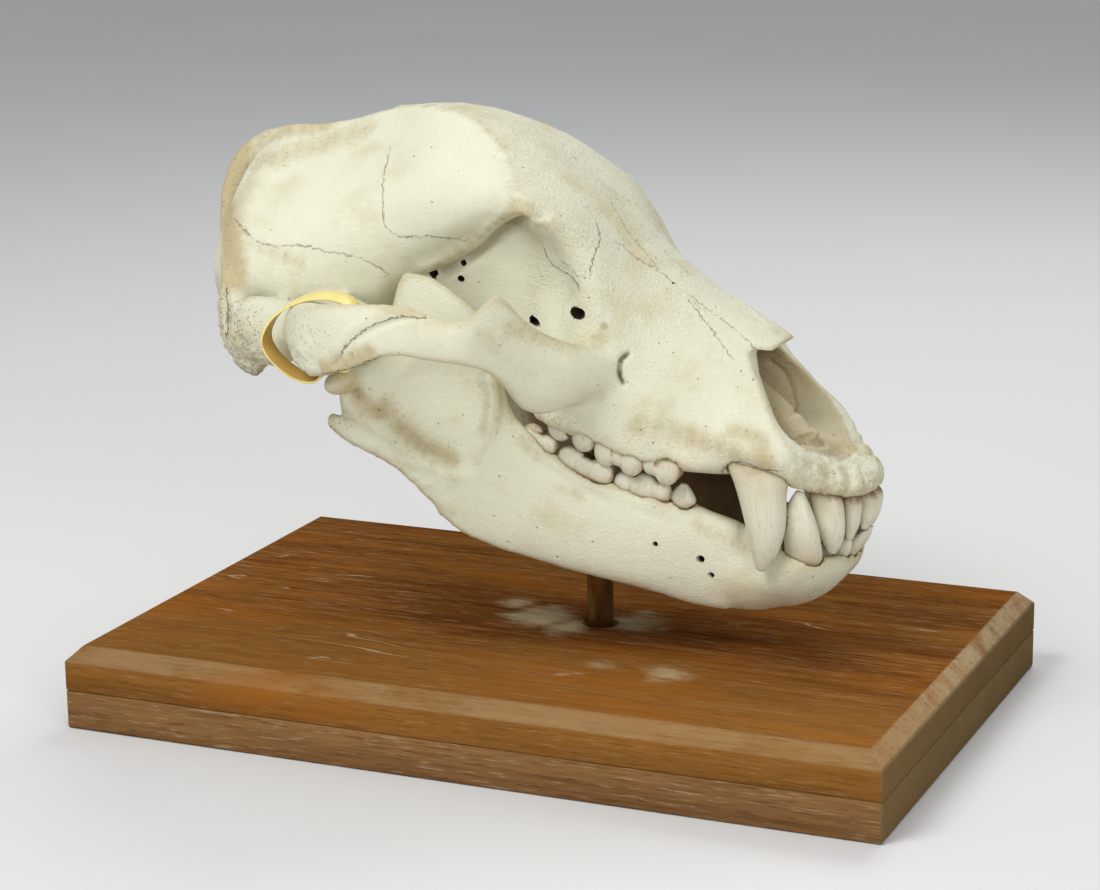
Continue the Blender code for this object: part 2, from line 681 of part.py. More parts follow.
def mandible():
    """The lower jaw: chin, two halves, hinge knobs and hooks grown together."""
    forms = [loft("chin", CHIN_SECTIONS, CHIN_ENDS)]
    for side in (1, -1):
        forms.append(leaning_bar("jaw", JAW_STATIONS, side, ends=JAW_ENDS))
        forms.append(bar("angle", ANGLE_STATIONS, side, around=10))
        forms.append(knob("hinge", *HINGE_KNOB, side))
    whole = grown_together("mandible", forms, MANDIBLE_TRIANGLES)
    cutters = []
    for side in (1, -1):
        centre, half_sizes, turn = MUSCLE_HOLLOW
        cutters.append(knob("muscle_hollow", centre, half_sizes, side, turn))
        for hole in JAW_HOLES:
            cutters.append(drill("hole", *hole, side=side, sides=6))
    cut(whole, cutters)
    return whole


def single_tooth(name, stations, side, around=8):
    """A tooth with one point."""
    rings = []
    for x, y, z, half_length, half_width in stations:
        centre = Vector((x, y * side, z))
        rings.append(oval(centre, Vector((half_length, 0, 0)), Vector((0, half_width, 0)), around))
    root, tip = Vector(stations[0][:3]), Vector(stations[-1][:3])
    root += (root - Vector(stations[1][:3])) * ROOT_RUN_OUT
    tip += (tip - Vector(stations[-2][:3])) * TIP_RUN_OUT
    ends = [(x, y * side, z) for x, y, z in (root, tip)]
    return body_through(name, rings, ends, SPECIMEN)


def cheek_tooth(name, spec, side, around=12):
    """A broad tooth with cusps along both edges of its crown."""
    start, end, y, half_width, gum_rear, gum_front, cusp_rear, cusp_front, cusps = spec
    centre_x, half_length = (start + end) / 2, (end - start) / 2
    down = 1 if gum_rear > cusp_rear else -1
    rings = []
    for spread, part in CROWN_RINGS:
        ring = []
        for k in range(around):
            turn = math.tau * k / around
            along, across = math.cos(turn), math.sin(turn)
            square = (abs(along) ** 4 + abs(across) ** 4) ** -0.25
            share = along * square * 0.5 + 0.5
            gum = gum_rear + (gum_front - gum_rear) * share
            cusp = cusp_rear + (cusp_front - cusp_rear) * share
            height = gum + (cusp - gum) * part if part >= 0 else gum + ROOT_LENGTH * down
            if part == 1.0:
                dip = (1 - math.cos(math.tau * cusps * share)) / 2
                height += down * CUSP_RELIEF * dip * abs(across)
            taper = spread * square
            x = centre_x + along * half_length * taper
            ring.append((x, (y + across * half_width * taper) * side, height))
        rings.append(ring)
    middle = (gum_rear + gum_front) / 2
    basin = (cusp_rear + cusp_front) / 2 + BASIN_DEPTH * down
    ends = [(centre_x, y * side, middle + (ROOT_LENGTH + 1.5) * down), (centre_x, y * side, basin)]
    return body_through(name, rings, ends, SPECIMEN)


def grown_copy(tooth):
    """A cutter a little larger than a tooth all over."""
    bm = bmesh.new()
    bm.from_mesh(tooth.data)
    bm.normal_update()
    for vertex in bm.verts:
        vertex.co += vertex.normal * SOCKET_GAP
    return piece_from(bm, tooth.name + "_socket", CUTTERS)


def teeth():
    """All thirty teeth, upper and lower, left and right."""
    made = []
    for side in (1, -1):
        for name, stations in SINGLE_TEETH.items():
            made.append(single_tooth(f"{name}_{side_name(side)}", stations, side))
        for name, spec in CHEEK_TEETH.items():
            made.append(cheek_tooth(f"{name}_{side_name(side)}", spec, side))
    return made


def number_band():
    """The flat plastic band looped round the right cheek-bone root: a ring with four edges, reshaped."""
    loop = closed_through([(x, -y, z) for x, y, z in BAND_LOOP], 2)
    centre = sum(loop, Vector()) / len(loop)
    bpy.ops.mesh.primitive_torus_add(major_segments=len(loop), minor_segments=4)
    ring = bpy.context.active_object
    bm = bmesh.new()
    bm.from_mesh(ring.data)
    bpy.data.objects.remove(ring, do_unlink=True)
    bm.verts.ensure_lookup_table()
    for k, point in enumerate(loop):
        along = (loop[(k + 1) % len(loop)] - loop[k - 1]).normalized()
        across = Vector((0.0, 1.0, 0.0))
        across = (across - along * across.dot(along)).normalized()
        outward = along.cross(across).normalized()
        if outward.dot(point - centre) < 0:
            outward.negate()
        out, wide = outward * BAND_THICKNESS / 2, across * BAND_WIDTH / 2
        for corner, place in enumerate((out + wide, out - wide, -out - wide, wide - out)):
            bm.verts[4 * k + corner].co = point + place
    return piece_from(bm, "number_band", SPECIMEN)


def board(name, bottom, thickness, chamfer):
    """One board of the base, with its top edges cut at 45 degrees where it has a chamfer."""
    bm = bmesh.new()
    bmesh.ops.create_cube(bm, size=1.0)
    size = Matrix.Diagonal((BASE_LENGTH, BASE_WIDTH, thickness, 1.0))
    middle = bottom + thickness / 2
    bmesh.ops.transform(bm, matrix=Matrix.Translation((0, 0, middle)) @ size, verts=bm.verts)
    if chamfer:
        top = [edge for edge in bm.edges if all(vertex.co.z > middle for vertex in edge.verts)]
        bmesh.ops.bevel(bm, geom=top, offset=chamfer, segments=1, affect="EDGES")
    return piece_from(bm, name, SPECIMEN)


def cylinder(name, radius, bottom, top, collection, sides=20):
    """A round bar on the post's axis."""
    bm = bmesh.new()
    size = {"radius1": radius, "radius2": radius, "depth": top - bottom}
    bmesh.ops.create_cone(bm, cap_ends=True, segments=sides, **size)
    bmesh.ops.translate(bm, vec=(POST_X, 0.0, (top + bottom) / 2), verts=bm.verts)
    return piece_from(bm, name, collection)


def base():
    """Two boards and the post that stands in the upper one."""
    lower = board("base_lower_board", 0.0, LOWER_BOARD_THICKNESS, 0.0)
    upper_bottom = LOWER_BOARD_THICKNESS + CLEARANCE
    upper = board("base_upper_board", upper_bottom, UPPER_BOARD_THICKNESS, CHAMFER)
    hole = cylinder("post_hole", POST_RADIUS + CLEARANCE, 0.0, BASE_HEIGHT + 0.01, CUTTERS)
    recess_floor = BASE_HEIGHT - POST_COUNTERBORE_DEPTH
    recess = cylinder("post_recess", POST_COUNTERBORE_RADIUS, recess_floor, BASE_HEIGHT + 0.01, CUTTERS)
    cut(upper, [hole, recess])
    post = cylinder("brass_post", POST_RADIUS, upper_bottom, POST_TOP, SPECIMEN)
    coloured(lower, WOOD_LOWER)
    coloured(upper, WOOD)
    coloured(post, BRASS)


def build():
    """The whole specimen."""
    base()
    skull, jaw, band = cranium(), mandible(), number_band()
    made = teeth()
    for tooth in made:
        cut(skull if tooth.name.startswith("upper") else jaw, [grown_copy(tooth)])
    for piece in (skull, jaw, band, *made):
        piece.data.transform(SKULL_FRAME)
    cut(skull, [cylinder("post_socket", POST_RADIUS + CLEARANCE, 0.10, POST_TOP + CLEARANCE, CUTTERS, 16)])
    coloured(skull, BONE)
    coloured(jaw, BONE)
    coloured(band, YELLOW_PLASTIC)
    for tooth in made:
        coloured(tooth, ENAMEL)


build()
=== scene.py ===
# A grizzly bear skull, jaw closed, held nose down by a brass post on its wooden base.
# Lengths are metres in the model's frame, but the bone is shaped in millimetres in the skull's own frame.
import math

import bpy
import numpy as np
from mathutils import Matrix, Vector
from mathutils.kdtree import KDTree


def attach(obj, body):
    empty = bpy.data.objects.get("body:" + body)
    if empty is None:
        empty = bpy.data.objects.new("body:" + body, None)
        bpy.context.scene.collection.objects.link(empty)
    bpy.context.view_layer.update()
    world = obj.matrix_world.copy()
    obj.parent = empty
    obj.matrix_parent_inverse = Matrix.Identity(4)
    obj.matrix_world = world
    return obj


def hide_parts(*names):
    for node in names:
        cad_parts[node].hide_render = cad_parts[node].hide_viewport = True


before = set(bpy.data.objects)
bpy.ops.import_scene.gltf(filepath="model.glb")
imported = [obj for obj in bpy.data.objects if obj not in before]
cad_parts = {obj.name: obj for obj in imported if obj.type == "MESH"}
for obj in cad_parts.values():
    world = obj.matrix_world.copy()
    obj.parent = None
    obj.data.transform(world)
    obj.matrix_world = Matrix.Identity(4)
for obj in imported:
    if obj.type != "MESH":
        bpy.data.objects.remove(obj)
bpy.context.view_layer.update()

bpy.context.scene.view_settings.view_transform = "Standard"

# The camera stands where the photograph was taken from: in front of the skull's right side and a
# little above it, with a long lens and a slight roll.
PHOTO_WIDTH, PHOTO_HEIGHT = 1100, 890
CAMERA_PLACE = Vector((0.5447, -1.2540, 0.4770))
CAMERA_TURN = math.radians(23.6547)
CAMERA_LIFT = math.radians(14.3505)
CAMERA_ROLL = math.radians(-0.8160)
CAMERA_LENS, CAMERA_SENSOR = 95.97, 36.0

to_camera = Vector(
    (
        math.sin(CAMERA_TURN) * math.cos(CAMERA_LIFT),
        -math.cos(CAMERA_TURN) * math.cos(CAMERA_LIFT),
        math.sin(CAMERA_LIFT),
    )
)
level_right = (-to_camera).cross(Vector((0, 0, 1))).normalized()
level_up = level_right.cross(-to_camera)
camera_right = level_right * math.cos(CAMERA_ROLL) + level_up * math.sin(CAMERA_ROLL)
camera_up = level_up * math.cos(CAMERA_ROLL) - level_right * math.sin(CAMERA_ROLL)
bpy.ops.object.select_all(action="DESELECT")
bpy.ops.object.camera_add(location=CAMERA_PLACE)
camera = bpy.context.object
camera.name = "photo_view"
camera.matrix_world = (
    Matrix.Translation(CAMERA_PLACE)
    @ Matrix((camera_right, camera_up, to_camera)).transposed().to_4x4()
)
camera.data.sensor_fit = "HORIZONTAL"
camera.data.sensor_width = CAMERA_SENSOR
camera.data.lens = CAMERA_LENS
camera.data.clip_end = 20.0
bpy.context.scene.camera = camera

# The lower board is one plank of pale brown hardwood with square edges. It lies flat on the table,
# and its grain runs the long way.
BASE_LENGTH, BASE_WIDTH = 0.4064, 0.2560
LOWER_THICKNESS = 0.0187
BOARD_GAP = 0.0003
WORN_EDGE = 0.0007
LOWER_LIGHT = (0.245, 0.112, 0.032, 1.0)
LOWER_DARK = (0.130, 0.050, 0.013, 1.0)
END_GRAIN = (0.165, 0.118, 0.055, 1.0)
WORN_WOOD = (0.42, 0.315, 0.18, 1.0)
WOOD_PORE = (0.055, 0.018, 0.006, 1.0)
WOOD_RELIEF = 0.0002
# Where this plank lay in the tree, so that its grain isn't the upper board's
LOWER_PLANK = (0.3, 0.07, 0.11)
# The saw's mark on a board's ends: how far from the end it fades and is whole, and its strength
SAWN_FADED, SAWN_WHOLE, SAWN_STRENGTH = 0.0012, 0.0005, 0.75
SHARP_ANGLE = math.radians(40)


def alone(piece):
    """Selects one piece and nothing else."""
    bpy.ops.object.select_all(action="DESELECT")
    piece.select_set(True)
    bpy.context.view_layer.objects.active = piece
    return piece


def apply_modifiers(piece):
    """Applies a piece's modifiers in order."""
    alone(piece)
    for modifier in list(piece.modifiers):
        bpy.ops.object.modifier_apply(modifier=modifier.name)
    return piece


def node(tree, kind, inputs=None, **settings):
    """Adds a shader node, sets it up, and gives its sockets values or links."""
    made = tree.nodes.new("ShaderNode" + kind)
    for name, value in settings.items():
        setattr(made, name, value)
    for name, value in (inputs or {}).items():
        if isinstance(value, bpy.types.NodeSocket):
            tree.links.new(value, made.inputs[name])
        else:
            made.inputs[name].default_value = value
    return made


def sum_of(tree, how, first, second=0.0, third=0.0):
    """One step of arithmetic on values."""
    return node(tree, "Math", {0: first, 1: second, 2: third}, operation=how).outputs[0]


def step_up(tree, value, low, high):
    """Rises smoothly from 0 at low to 1 at high."""
    sockets = {"Value": value, "From Min": low, "From Max": high}
    return node(tree, "MapRange", sockets, interpolation_type="SMOOTHSTEP").outputs[0]


def colour_mix(tree, share, first, second, how="MIX"):
    """Mixes two colours."""
    sockets = {0: share, 6: first, 7: second}
    return node(tree, "Mix", sockets, data_type="RGBA", blend_type=how).outputs[2]


def times(tree, value, by):
    """One value times another."""
    return sum_of(tree, "MULTIPLY", value, by)


def laid_over(tree, colour, tint, mask, most=1.0):
    """Lays a tint over a colour where the mask says, and at most this strongly."""
    return colour_mix(tree, mask if most == 1.0 else times(tree, mask, most), colour, tint)


def speckle(tree, place, scale, detail=3.0, roughness=0.55, stretch=None):
    """Noise on a place, finer with a greater scale, and drawn out where it is stretched."""
    if stretch:
        place = node(tree, "Mapping", {"Vector": place, "Scale": stretch}).outputs[0]
    sockets = {"Vector": place, "Scale": scale, "Detail": detail, "Roughness": roughness}
    return node(tree, "TexNoise", sockets).outputs[0]


def line_in(tree, value, middle, half_width):
    """1 along the line where a value passes through its middle, 0 elsewhere."""
    off = sum_of(tree, "ABSOLUTE", sum_of(tree, "SUBTRACT", value, middle))
    return step_up(tree, off, half_width, half_width * 0.3)


def group(name, inputs, outputs):
    """A new shader group with named sockets, and its two ends."""
    tree = bpy.data.node_groups.new(name, "ShaderNodeTree")
    for socket, kind in inputs:
        tree.interface.new_socket(socket, in_out="INPUT", socket_type="NodeSocket" + kind)
    for socket, kind in outputs:
        tree.interface.new_socket(socket, in_out="OUTPUT", socket_type="NodeSocket" + kind)
    start = tree.nodes.new("NodeGroupInput")
    end = tree.nodes.new("NodeGroupOutput")
    return tree, start.outputs, end.inputs


def placed_group(tree, shared, inputs):
    """Puts a shared group into a material."""
    return node(tree, "Group", inputs, node_tree=shared).outputs


def wood_grain():
    """Hardwood cut along X: broad figure, dark pore streaks, pale flecks, and wear."""
    tree, given, out = group(
        "wood_grain",
        [
            ("Place", "Vector"),
            ("Light", "Color"),
            ("Dark", "Color"),
            ("Worn", "Color"),
            ("Wear", "Float"),
        ],
        [("Color", "Color"), ("Height", "Float"), ("Roughness", "Float")],
    )
    place = given["Place"]
    figure = speckle(tree, place, 9.0, 4.0, 0.6, (0.45, 3.0, 4.0))
    bands = speckle(tree, place, 60.0, 5.0, 0.7, (0.16, 4.0, 6.0))
    pores = speckle(tree, place, 420.0, 2.0, 0.5, (0.16, 2.2, 2.6))
    flecks = speckle(tree, place, 400.0, 3.0, 0.6, (0.17, 2.6, 2.2))
    broad = step_up(tree, sum_of(tree, "MULTIPLY_ADD", bands, 0.6, times(tree, figure, 0.5)), 0.38, 0.72)
    colour = colour_mix(tree, broad, given["Dark"], given["Light"])
    pore = step_up(tree, pores, 0.57, 0.72)
    colour = laid_over(tree, colour, WOOD_PORE, pore, 0.55)
    colour = laid_over(tree, colour, given["Worn"], step_up(tree, flecks, 0.57, 0.70), 0.5)
    rubbed = times(tree, given["Wear"], step_up(tree, bands, 0.05, 0.55))
    colour = laid_over(tree, colour, given["Worn"], rubbed)
    height = sum_of(tree, "SUBTRACT", times(tree, bands, 0.25), pore)
    tree.links.new(colour, out["Color"])
    tree.links.new(height, out["Height"])
    rough = sum_of(tree, "MULTIPLY_ADD", pore, 0.2, sum_of(tree, "MULTIPLY_ADD", rubbed, 0.25, 0.42))
    tree.links.new(rough, out["Roughness"])
    return tree


WOOD_GRAIN = wood_grain()


def material(name, **principled):
    """A material with its Principled shader's constant values set."""
    made = bpy.data.materials.new(name)
    made.use_nodes = True
    shader = made.node_tree.nodes["Principled BSDF"]
    for socket, value in principled.items():
        shader.inputs[socket.replace("_", " ")].default_value = value
    return made, made.node_tree, shader


def bump(tree, shader, height, distance, strength=1.0):
    """Feeds a height into a shader's normal."""
    sockets = {"Height": height, "Distance": distance, "Strength": strength}
    tree.links.new(node(tree, "Bump", sockets).outputs[0], shader.inputs["Normal"])


def board(name, bottom, thickness):
    """A plank from a cube, set down on its underside."""
    bpy.ops.object.select_all(action="DESELECT")
    bpy.ops.mesh.primitive_cube_add(size=1.0, location=(0.0, 0.0, bottom + thickness / 2))
    plank = bpy.context.object
    plank.name = name
    plank.scale = (BASE_LENGTH, BASE_WIDTH, thickness)
    bpy.ops.object.transform_apply(location=True, rotation=True, scale=True)
    return plank


def ease_edges(piece, width, segments=3):
    """Rounds a piece's sharp edges a little."""
    eased = piece.modifiers.new("eased_edges", "BEVEL")
    eased.width = width
    eased.segments = segments
    eased.limit_method = "ANGLE"
    eased.harden_normals = True
    apply_modifiers(piece)
    bpy.ops.object.shade_smooth_by_angle(angle=SHARP_ANGLE)


def object_place(tree, stretch=(1.0, 1.0, 1.0), shift=(0.0, 0.0, 0.0)):
    """The point on the piece itself, with the pattern stretched or shifted."""
    origin = node(tree, "TexCoord").outputs["Object"]
    return node(tree, "Mapping", {"Vector": origin, "Scale": stretch, "Location": shift}).outputs[0]


lower_board = board("lower_board", 0.0, LOWER_THICKNESS)
ease_edges(lower_board, WORN_EDGE)
lower_wood, tree, shader = material("lower_wood", Specular_IOR_Level=0.0)
look = {
    "Place": object_place(tree, shift=LOWER_PLANK),
    "Light": LOWER_LIGHT,
    "Dark": LOWER_DARK,
    "Worn": WORN_WOOD,
    "Wear": 0.12,
}
grain = placed_group(tree, WOOD_GRAIN, look)
along = sum_of(tree, "ABSOLUTE", node(tree, "SeparateXYZ", {0: object_place(tree)}).outputs[0])
sawn = step_up(tree, along, BASE_LENGTH / 2 - SAWN_FADED, BASE_LENGTH / 2 - SAWN_WHOLE)
colour = laid_over(tree, grain["Color"], END_GRAIN, sawn, SAWN_STRENGTH)
tree.links.new(colour, shader.inputs["Base Color"])
tree.links.new(grain["Roughness"], shader.inputs["Roughness"])
bump(tree, shader, grain["Height"], WOOD_RELIEF)
lower_board.data.materials.append(lower_wood)
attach(lower_board, "root")
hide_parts("base_lower_board")

# The upper board is the same hardwood stained red-brown, with its top edges planed to a wide
# chamfer and rubbed pale. The post stands in a hole through it, in a shallow round recess.
UPPER_THICKNESS = 0.0211
UPPER_BOTTOM = LOWER_THICKNESS + BOARD_GAP
BASE_TOP = UPPER_BOTTOM + UPPER_THICKNESS
CHAMFER = 0.0070
POST_X, POST_RADIUS = 0.0210, 0.00635
POST_CLEARANCE = 0.0003
RECESS_RADIUS, RECESS_DEPTH = 0.0088, 0.0010
UPPER_LIGHT = (0.265, 0.108, 0.024, 1.0)
UPPER_DARK = (0.108, 0.034, 0.008, 1.0)
UPPER_GOLD = (0.285, 0.130, 0.030, 1.0)
UPPER_ORANGE = (0.300, 0.100, 0.013, 1.0)
DUST = (0.50, 0.41, 0.25, 1.0)
# Across the board, where its top starts to turn lighter and more golden towards the front, and where it is
# fully so
GOLDEN_FRONT = (-0.045, -0.115)
UPPER_WORN_EDGE = 0.0005
# Where dust lies on the top: its middle, how far it reaches and how thick it is
DUST_PATCHES = (
    ((-0.030, 0.014), 0.020, 0.80),
    ((-0.010, -0.002), 0.034, 1.0),
    ((0.008, -0.014), 0.024, 0.90),
    ((0.036, 0.004), 0.034, 0.85),
    ((0.044, -0.056), 0.022, 0.60),
    ((0.080, -0.060), 0.026, 0.75),
)


def upright_cylinder(name, radius, bottom, top, sides=64):
    """A round bar on the post's axis."""
    bpy.ops.object.select_all(action="DESELECT")
    middle = (POST_X, 0.0, (top + bottom) / 2)
    bpy.ops.mesh.primitive_cylinder_add(vertices=sides, radius=radius, depth=top - bottom, location=middle)
    bpy.context.object.name = name
    bpy.ops.object.transform_apply(location=True, rotation=True, scale=True)
    return bpy.context.object


def cut(piece, cutters, solver="EXACT"):
    """Takes cutters out of a piece and throws them away."""
    for cutter in cutters:
        away = piece.modifiers.new("cut", "BOOLEAN")
        away.operation = "DIFFERENCE"
        away.solver = solver
        away.object = cutter
        apply_modifiers(piece)
        bpy.data.objects.remove(cutter, do_unlink=True)
    return piece


upper_board = board("upper_board", UPPER_BOTTOM, UPPER_THICKNESS)
bpy.ops.object.mode_set(mode="EDIT")
bpy.ops.mesh.select_mode(type="FACE")
bpy.ops.mesh.select_all(action="DESELECT")
bpy.ops.object.mode_set(mode="OBJECT")
for face in upper_board.data.polygons:
    face.select = face.normal.z > 0.9
bpy.ops.object.mode_set(mode="EDIT")
bpy.ops.mesh.region_to_loop()
bpy.ops.mesh.bevel(offset=CHAMFER, segments=1, affect="EDGES")
bpy.ops.object.mode_set(mode="OBJECT")
cut(
    upper_board,
    [
        upright_cylinder("post_hole", POST_RADIUS + POST_CLEARANCE, 0.0, BASE_TOP + 0.01),
        upright_cylinder("post_recess", RECESS_RADIUS, BASE_TOP - RECESS_DEPTH, BASE_TOP + 0.01),
    ],
)
ease_edges(upper_board, UPPER_WORN_EDGE, 2)
upper_wood, tree, shader = material("upper_wood", Specular_IOR_Level=0.0)
place = object_place(tree)
split = node(tree, "SeparateXYZ", {0: place}).outputs
from_end = sum_of(tree, "SUBTRACT", BASE_LENGTH / 2, sum_of(tree, "ABSOLUTE", split[0]))
from_side = sum_of(tree, "SUBTRACT", BASE_WIDTH / 2, sum_of(tree, "ABSOLUTE", split[1]))
from_edge = sum_of(tree, "MINIMUM", from_end, from_side)
near_top = step_up(tree, split[2], BASE_TOP - CHAMFER - 0.001, BASE_TOP - CHAMFER + 0.0005)
slope = times(tree, near_top, step_up(tree, from_edge, CHAMFER + 0.0012, CHAMFER - 0.0004))
patchy = speckle(tree, place, 45.0, 4.0, 0.6, (0.5, 1.0, 1.0))
end_side = step_up(tree, sum_of(tree, "SUBTRACT", from_side, from_end), -0.0005, 0.0005)
worn = times(tree, slope, step_up(tree, patchy, 0.20, 0.55))
worn = times(tree, worn, sum_of(tree, "MULTIPLY_ADD", end_side, 0.35, 0.65))
look = {
    "Place": place,
    "Light": UPPER_LIGHT,
    "Dark": UPPER_DARK,
    "Worn": WORN_WOOD,
    "Wear": times(tree, worn, 0.9),
}
grain = placed_group(tree, WOOD_GRAIN, look)
golden = step_up(tree, sum_of(tree, "MULTIPLY_ADD", patchy, -0.05, split[1]), *GOLDEN_FRONT)
colour = laid_over(tree, grain["Color"], UPPER_GOLD, golden, 0.45)
warm = step_up(tree, speckle(tree, place, 24.0, 4.0, 0.6, (0.35, 1.4, 1.0)), 0.48, 0.68)
colour = laid_over(tree, colour, UPPER_ORANGE, warm, 0.5)
sawn = step_up(tree, from_end, SAWN_FADED, SAWN_WHOLE)
colour = laid_over(tree, colour, END_GRAIN, sawn, SAWN_STRENGTH)
on_top = step_up(tree, split[2], BASE_TOP - 0.001, BASE_TOP - 0.0005)
dusty = 0.0
for spot, reach, thick in DUST_PATCHES:
    off = node(tree, "VectorMath", {0: place, 1: (*spot, BASE_TOP)}, operation="DISTANCE").outputs["Value"]
    dusty = sum_of(tree, "MAXIMUM", dusty, times(tree, step_up(tree, off, reach, 0.0), thick))
ragged = speckle(tree, place, 70.0, 7.0, 0.78, (0.55, 1.3, 1.0))
dusty = step_up(tree, sum_of(tree, "MULTIPLY_ADD", ragged, 1.3, times(tree, dusty, 0.75)), 0.86, 1.42)
colour = laid_over(tree, colour, DUST, times(tree, dusty, on_top), 0.85)
scratched = line_in(tree, speckle(tree, place, 40.0, 2.0, 0.4, (0.06, 1.0, 1.0)), 0.5, 0.0035)
scratched = times(tree, scratched, step_up(tree, speckle(tree, place, 20.0, 3.0), 0.48, 0.60))
colour = laid_over(tree, colour, WORN_WOOD, times(tree, scratched, on_top), 0.75)
tree.links.new(colour, shader.inputs["Base Color"])
tree.links.new(grain["Roughness"], shader.inputs["Roughness"])
bump(tree, shader, grain["Height"], WOOD_RELIEF)
upper_board.data.materials.append(upper_wood)
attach(upper_board, "root")
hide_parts("base_upper_board")

# The post is a round brass bar gone brown with age, cut square with its ends eased. It is pushed into
# the base, stands up between the jaw halves and ends in a hole in the palate.
POST_TOP = 0.1680
POST_EASED = 0.0006
BRASS_RELIEF = 0.00006
BRASS_BRIGHT = (0.38, 0.26, 0.115, 1.0)
BRASS_BROWN = (0.175, 0.125, 0.066, 1.0)

post = upright_cylinder("post", POST_RADIUS, UPPER_BOTTOM, POST_TOP, 96)
ease_edges(post, POST_EASED)
brass, tree, shader = material("post_brass", Metallic=1.0, Specular_IOR_Level=0.5)
place = object_place(tree)
drawn = speckle(tree, place, 900.0, 3.0, 0.6, (1.0, 1.0, 0.03))
tarnish = step_up(tree, speckle(tree, place, 120.0, 5.0, 0.65, (1.0, 1.0, 0.35)), 0.35, 0.68)
tree.links.new(colour_mix(tree, tarnish, BRASS_BRIGHT, BRASS_BROWN), shader.inputs["Base Color"])
rough = sum_of(tree, "MULTIPLY_ADD", tarnish, 0.22, sum_of(tree, "MULTIPLY_ADD", drawn, 0.12, 0.22))
tree.links.new(rough, shader.inputs["Roughness"])
bump(tree, shader, drawn, BRASS_RELIEF)
post.data.materials.append(brass)
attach(post, "root")
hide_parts("brass_post")

# The teeth are ivory-coloured enamel over dentine, thirty in all, loose in their sockets. Canines and
# incisors have one point; cheek teeth are broad, with rounded cusps. Each stays a piece of its own.
NOSE_DOWN = math.radians(10.0)
BITE_LINE_HEIGHT = 0.146
SKULL_FRAME = (
    Matrix.Translation((0.0, 0.0, BITE_LINE_HEIGHT))
    @ Matrix.Rotation(NOSE_DOWN, 4, "Y")
    @ Matrix.Scale(0.001, 4)
)

# Pointed teeth of one side. Each ring: centre x, y, z, half-length along x, half-width along y.
# The first ring is the root's end and the last is the top of the crown.
POINTED_TEETH = {
    "upper_incisor_1": (
        (151, 4.0, 8, 2.0, 1.8),
        (155.2, 4.2, 4.5, 2.8, 2.8),
        (159.2, 4.5, 0, 4.2, 3.8),
        (160.2, 4.6, -9, 3.7, 4.0),
        (160.4, 4.6, -15.5, 1.7, 3.3),
    ),
    "upper_incisor_2": (
        (145, 11, 11, 2.2, 2.0),
        (150, 12.2, 5, 3.4, 3.0),
        (154.6, 13.2, -1, 4.2, 3.8),
        (156.2, 13.4, -11, 3.8, 3.9),
        (156.6, 13.2, -19.6, 1.7, 2.8),
    ),
    "upper_incisor_3": (
        (133, 18.5, 14, 2.5, 2.5),
        (138.6, 20.4, 6, 5.4, 3.8),
        (144.2, 22.0, 0, 8.0, 4.5),
        (148.0, 22.0, -12, 7.7, 4.5),
        (150.2, 21.4, -19.5, 5.6, 3.5),
        (151.6, 20.8, -26, 2.0, 1.7),
    ),
    "upper_canine": (
        (84, 30, 36, 3.0, 3.0),
        (98, 31.5, 26, 10.0, 6.4),
        (112.6, 36.4, 11.5, 15.0, 9.2),
        (118.2, 38.4, 0, 12.2, 8.8),
        (123.2, 39.8, -14, 9.8, 7.4),
        (125.2, 40.2, -26, 6.8, 5.2),
        (125.6, 40.0, -36.3, 2.2, 2.0),
    ),
    "lower_incisor_1": (
        (147, 3.2, -42, 1.6, 1.4),
        (151.4, 3.4, -36, 2.6, 2.2),
        (155, 3.7, -30, 3.2, 2.9),
        (158.4, 3.9, -22.5, 3.0, 3.2),
        (160.8, 3.9, -17.3, 1.3, 2.8),
    ),
    "lower_incisor_2": (
        (144, 8.8, -43, 1.6, 1.5),
        (148.6, 9.4, -36.5, 2.8, 2.2),
        (152.6, 10.0, -30.5, 3.4, 2.6),
        (154.6, 10.2, -24, 3.0, 2.7),
        (154.9, 10.3, -18.6, 1.2, 2.2),
    ),
    "lower_incisor_3": (
        (140.5, 13.8, -43, 1.8, 1.6),
        (143.6, 14.8, -36.5, 2.8, 2.2),
        (146.6, 15.7, -30.5, 3.4, 2.4),
        (148.4, 15.9, -24, 3.0, 2.2),
        (148.6, 15.7, -17.5, 1.3, 1.6),
    ),
    "lower_canine": (
        (123, 18, -52, 3.5, 3.0),
        (132.2, 22.5, -42, 7.4, 5.4),
        (140.0, 27.4, -30, 9.0, 6.4),
        (138.8, 30.8, -18, 8.9, 5.8),
        (136.6, 31.6, -9, 7.2, 5.0),
        (135.2, 31.5, -2.5, 4.4, 3.7),
        (134.4, 31.2, 1.8, 2.0, 1.8),
    ),
    "lower_premolar_4": (
        (78.6, 31.5, -30, 2.0, 1.6),
        (79.2, 31.5, -23.5, 2.4, 2.0),
        (79.8, 31.6, -19.4, 4.6, 3.3),
        (80.0, 31.6, -16.2, 6.5, 3.9),
        (79.9, 31.6, -12.8, 4.6, 3.2),
        (79.5, 31.6, -9.4, 1.7, 1.5),
    ),
}
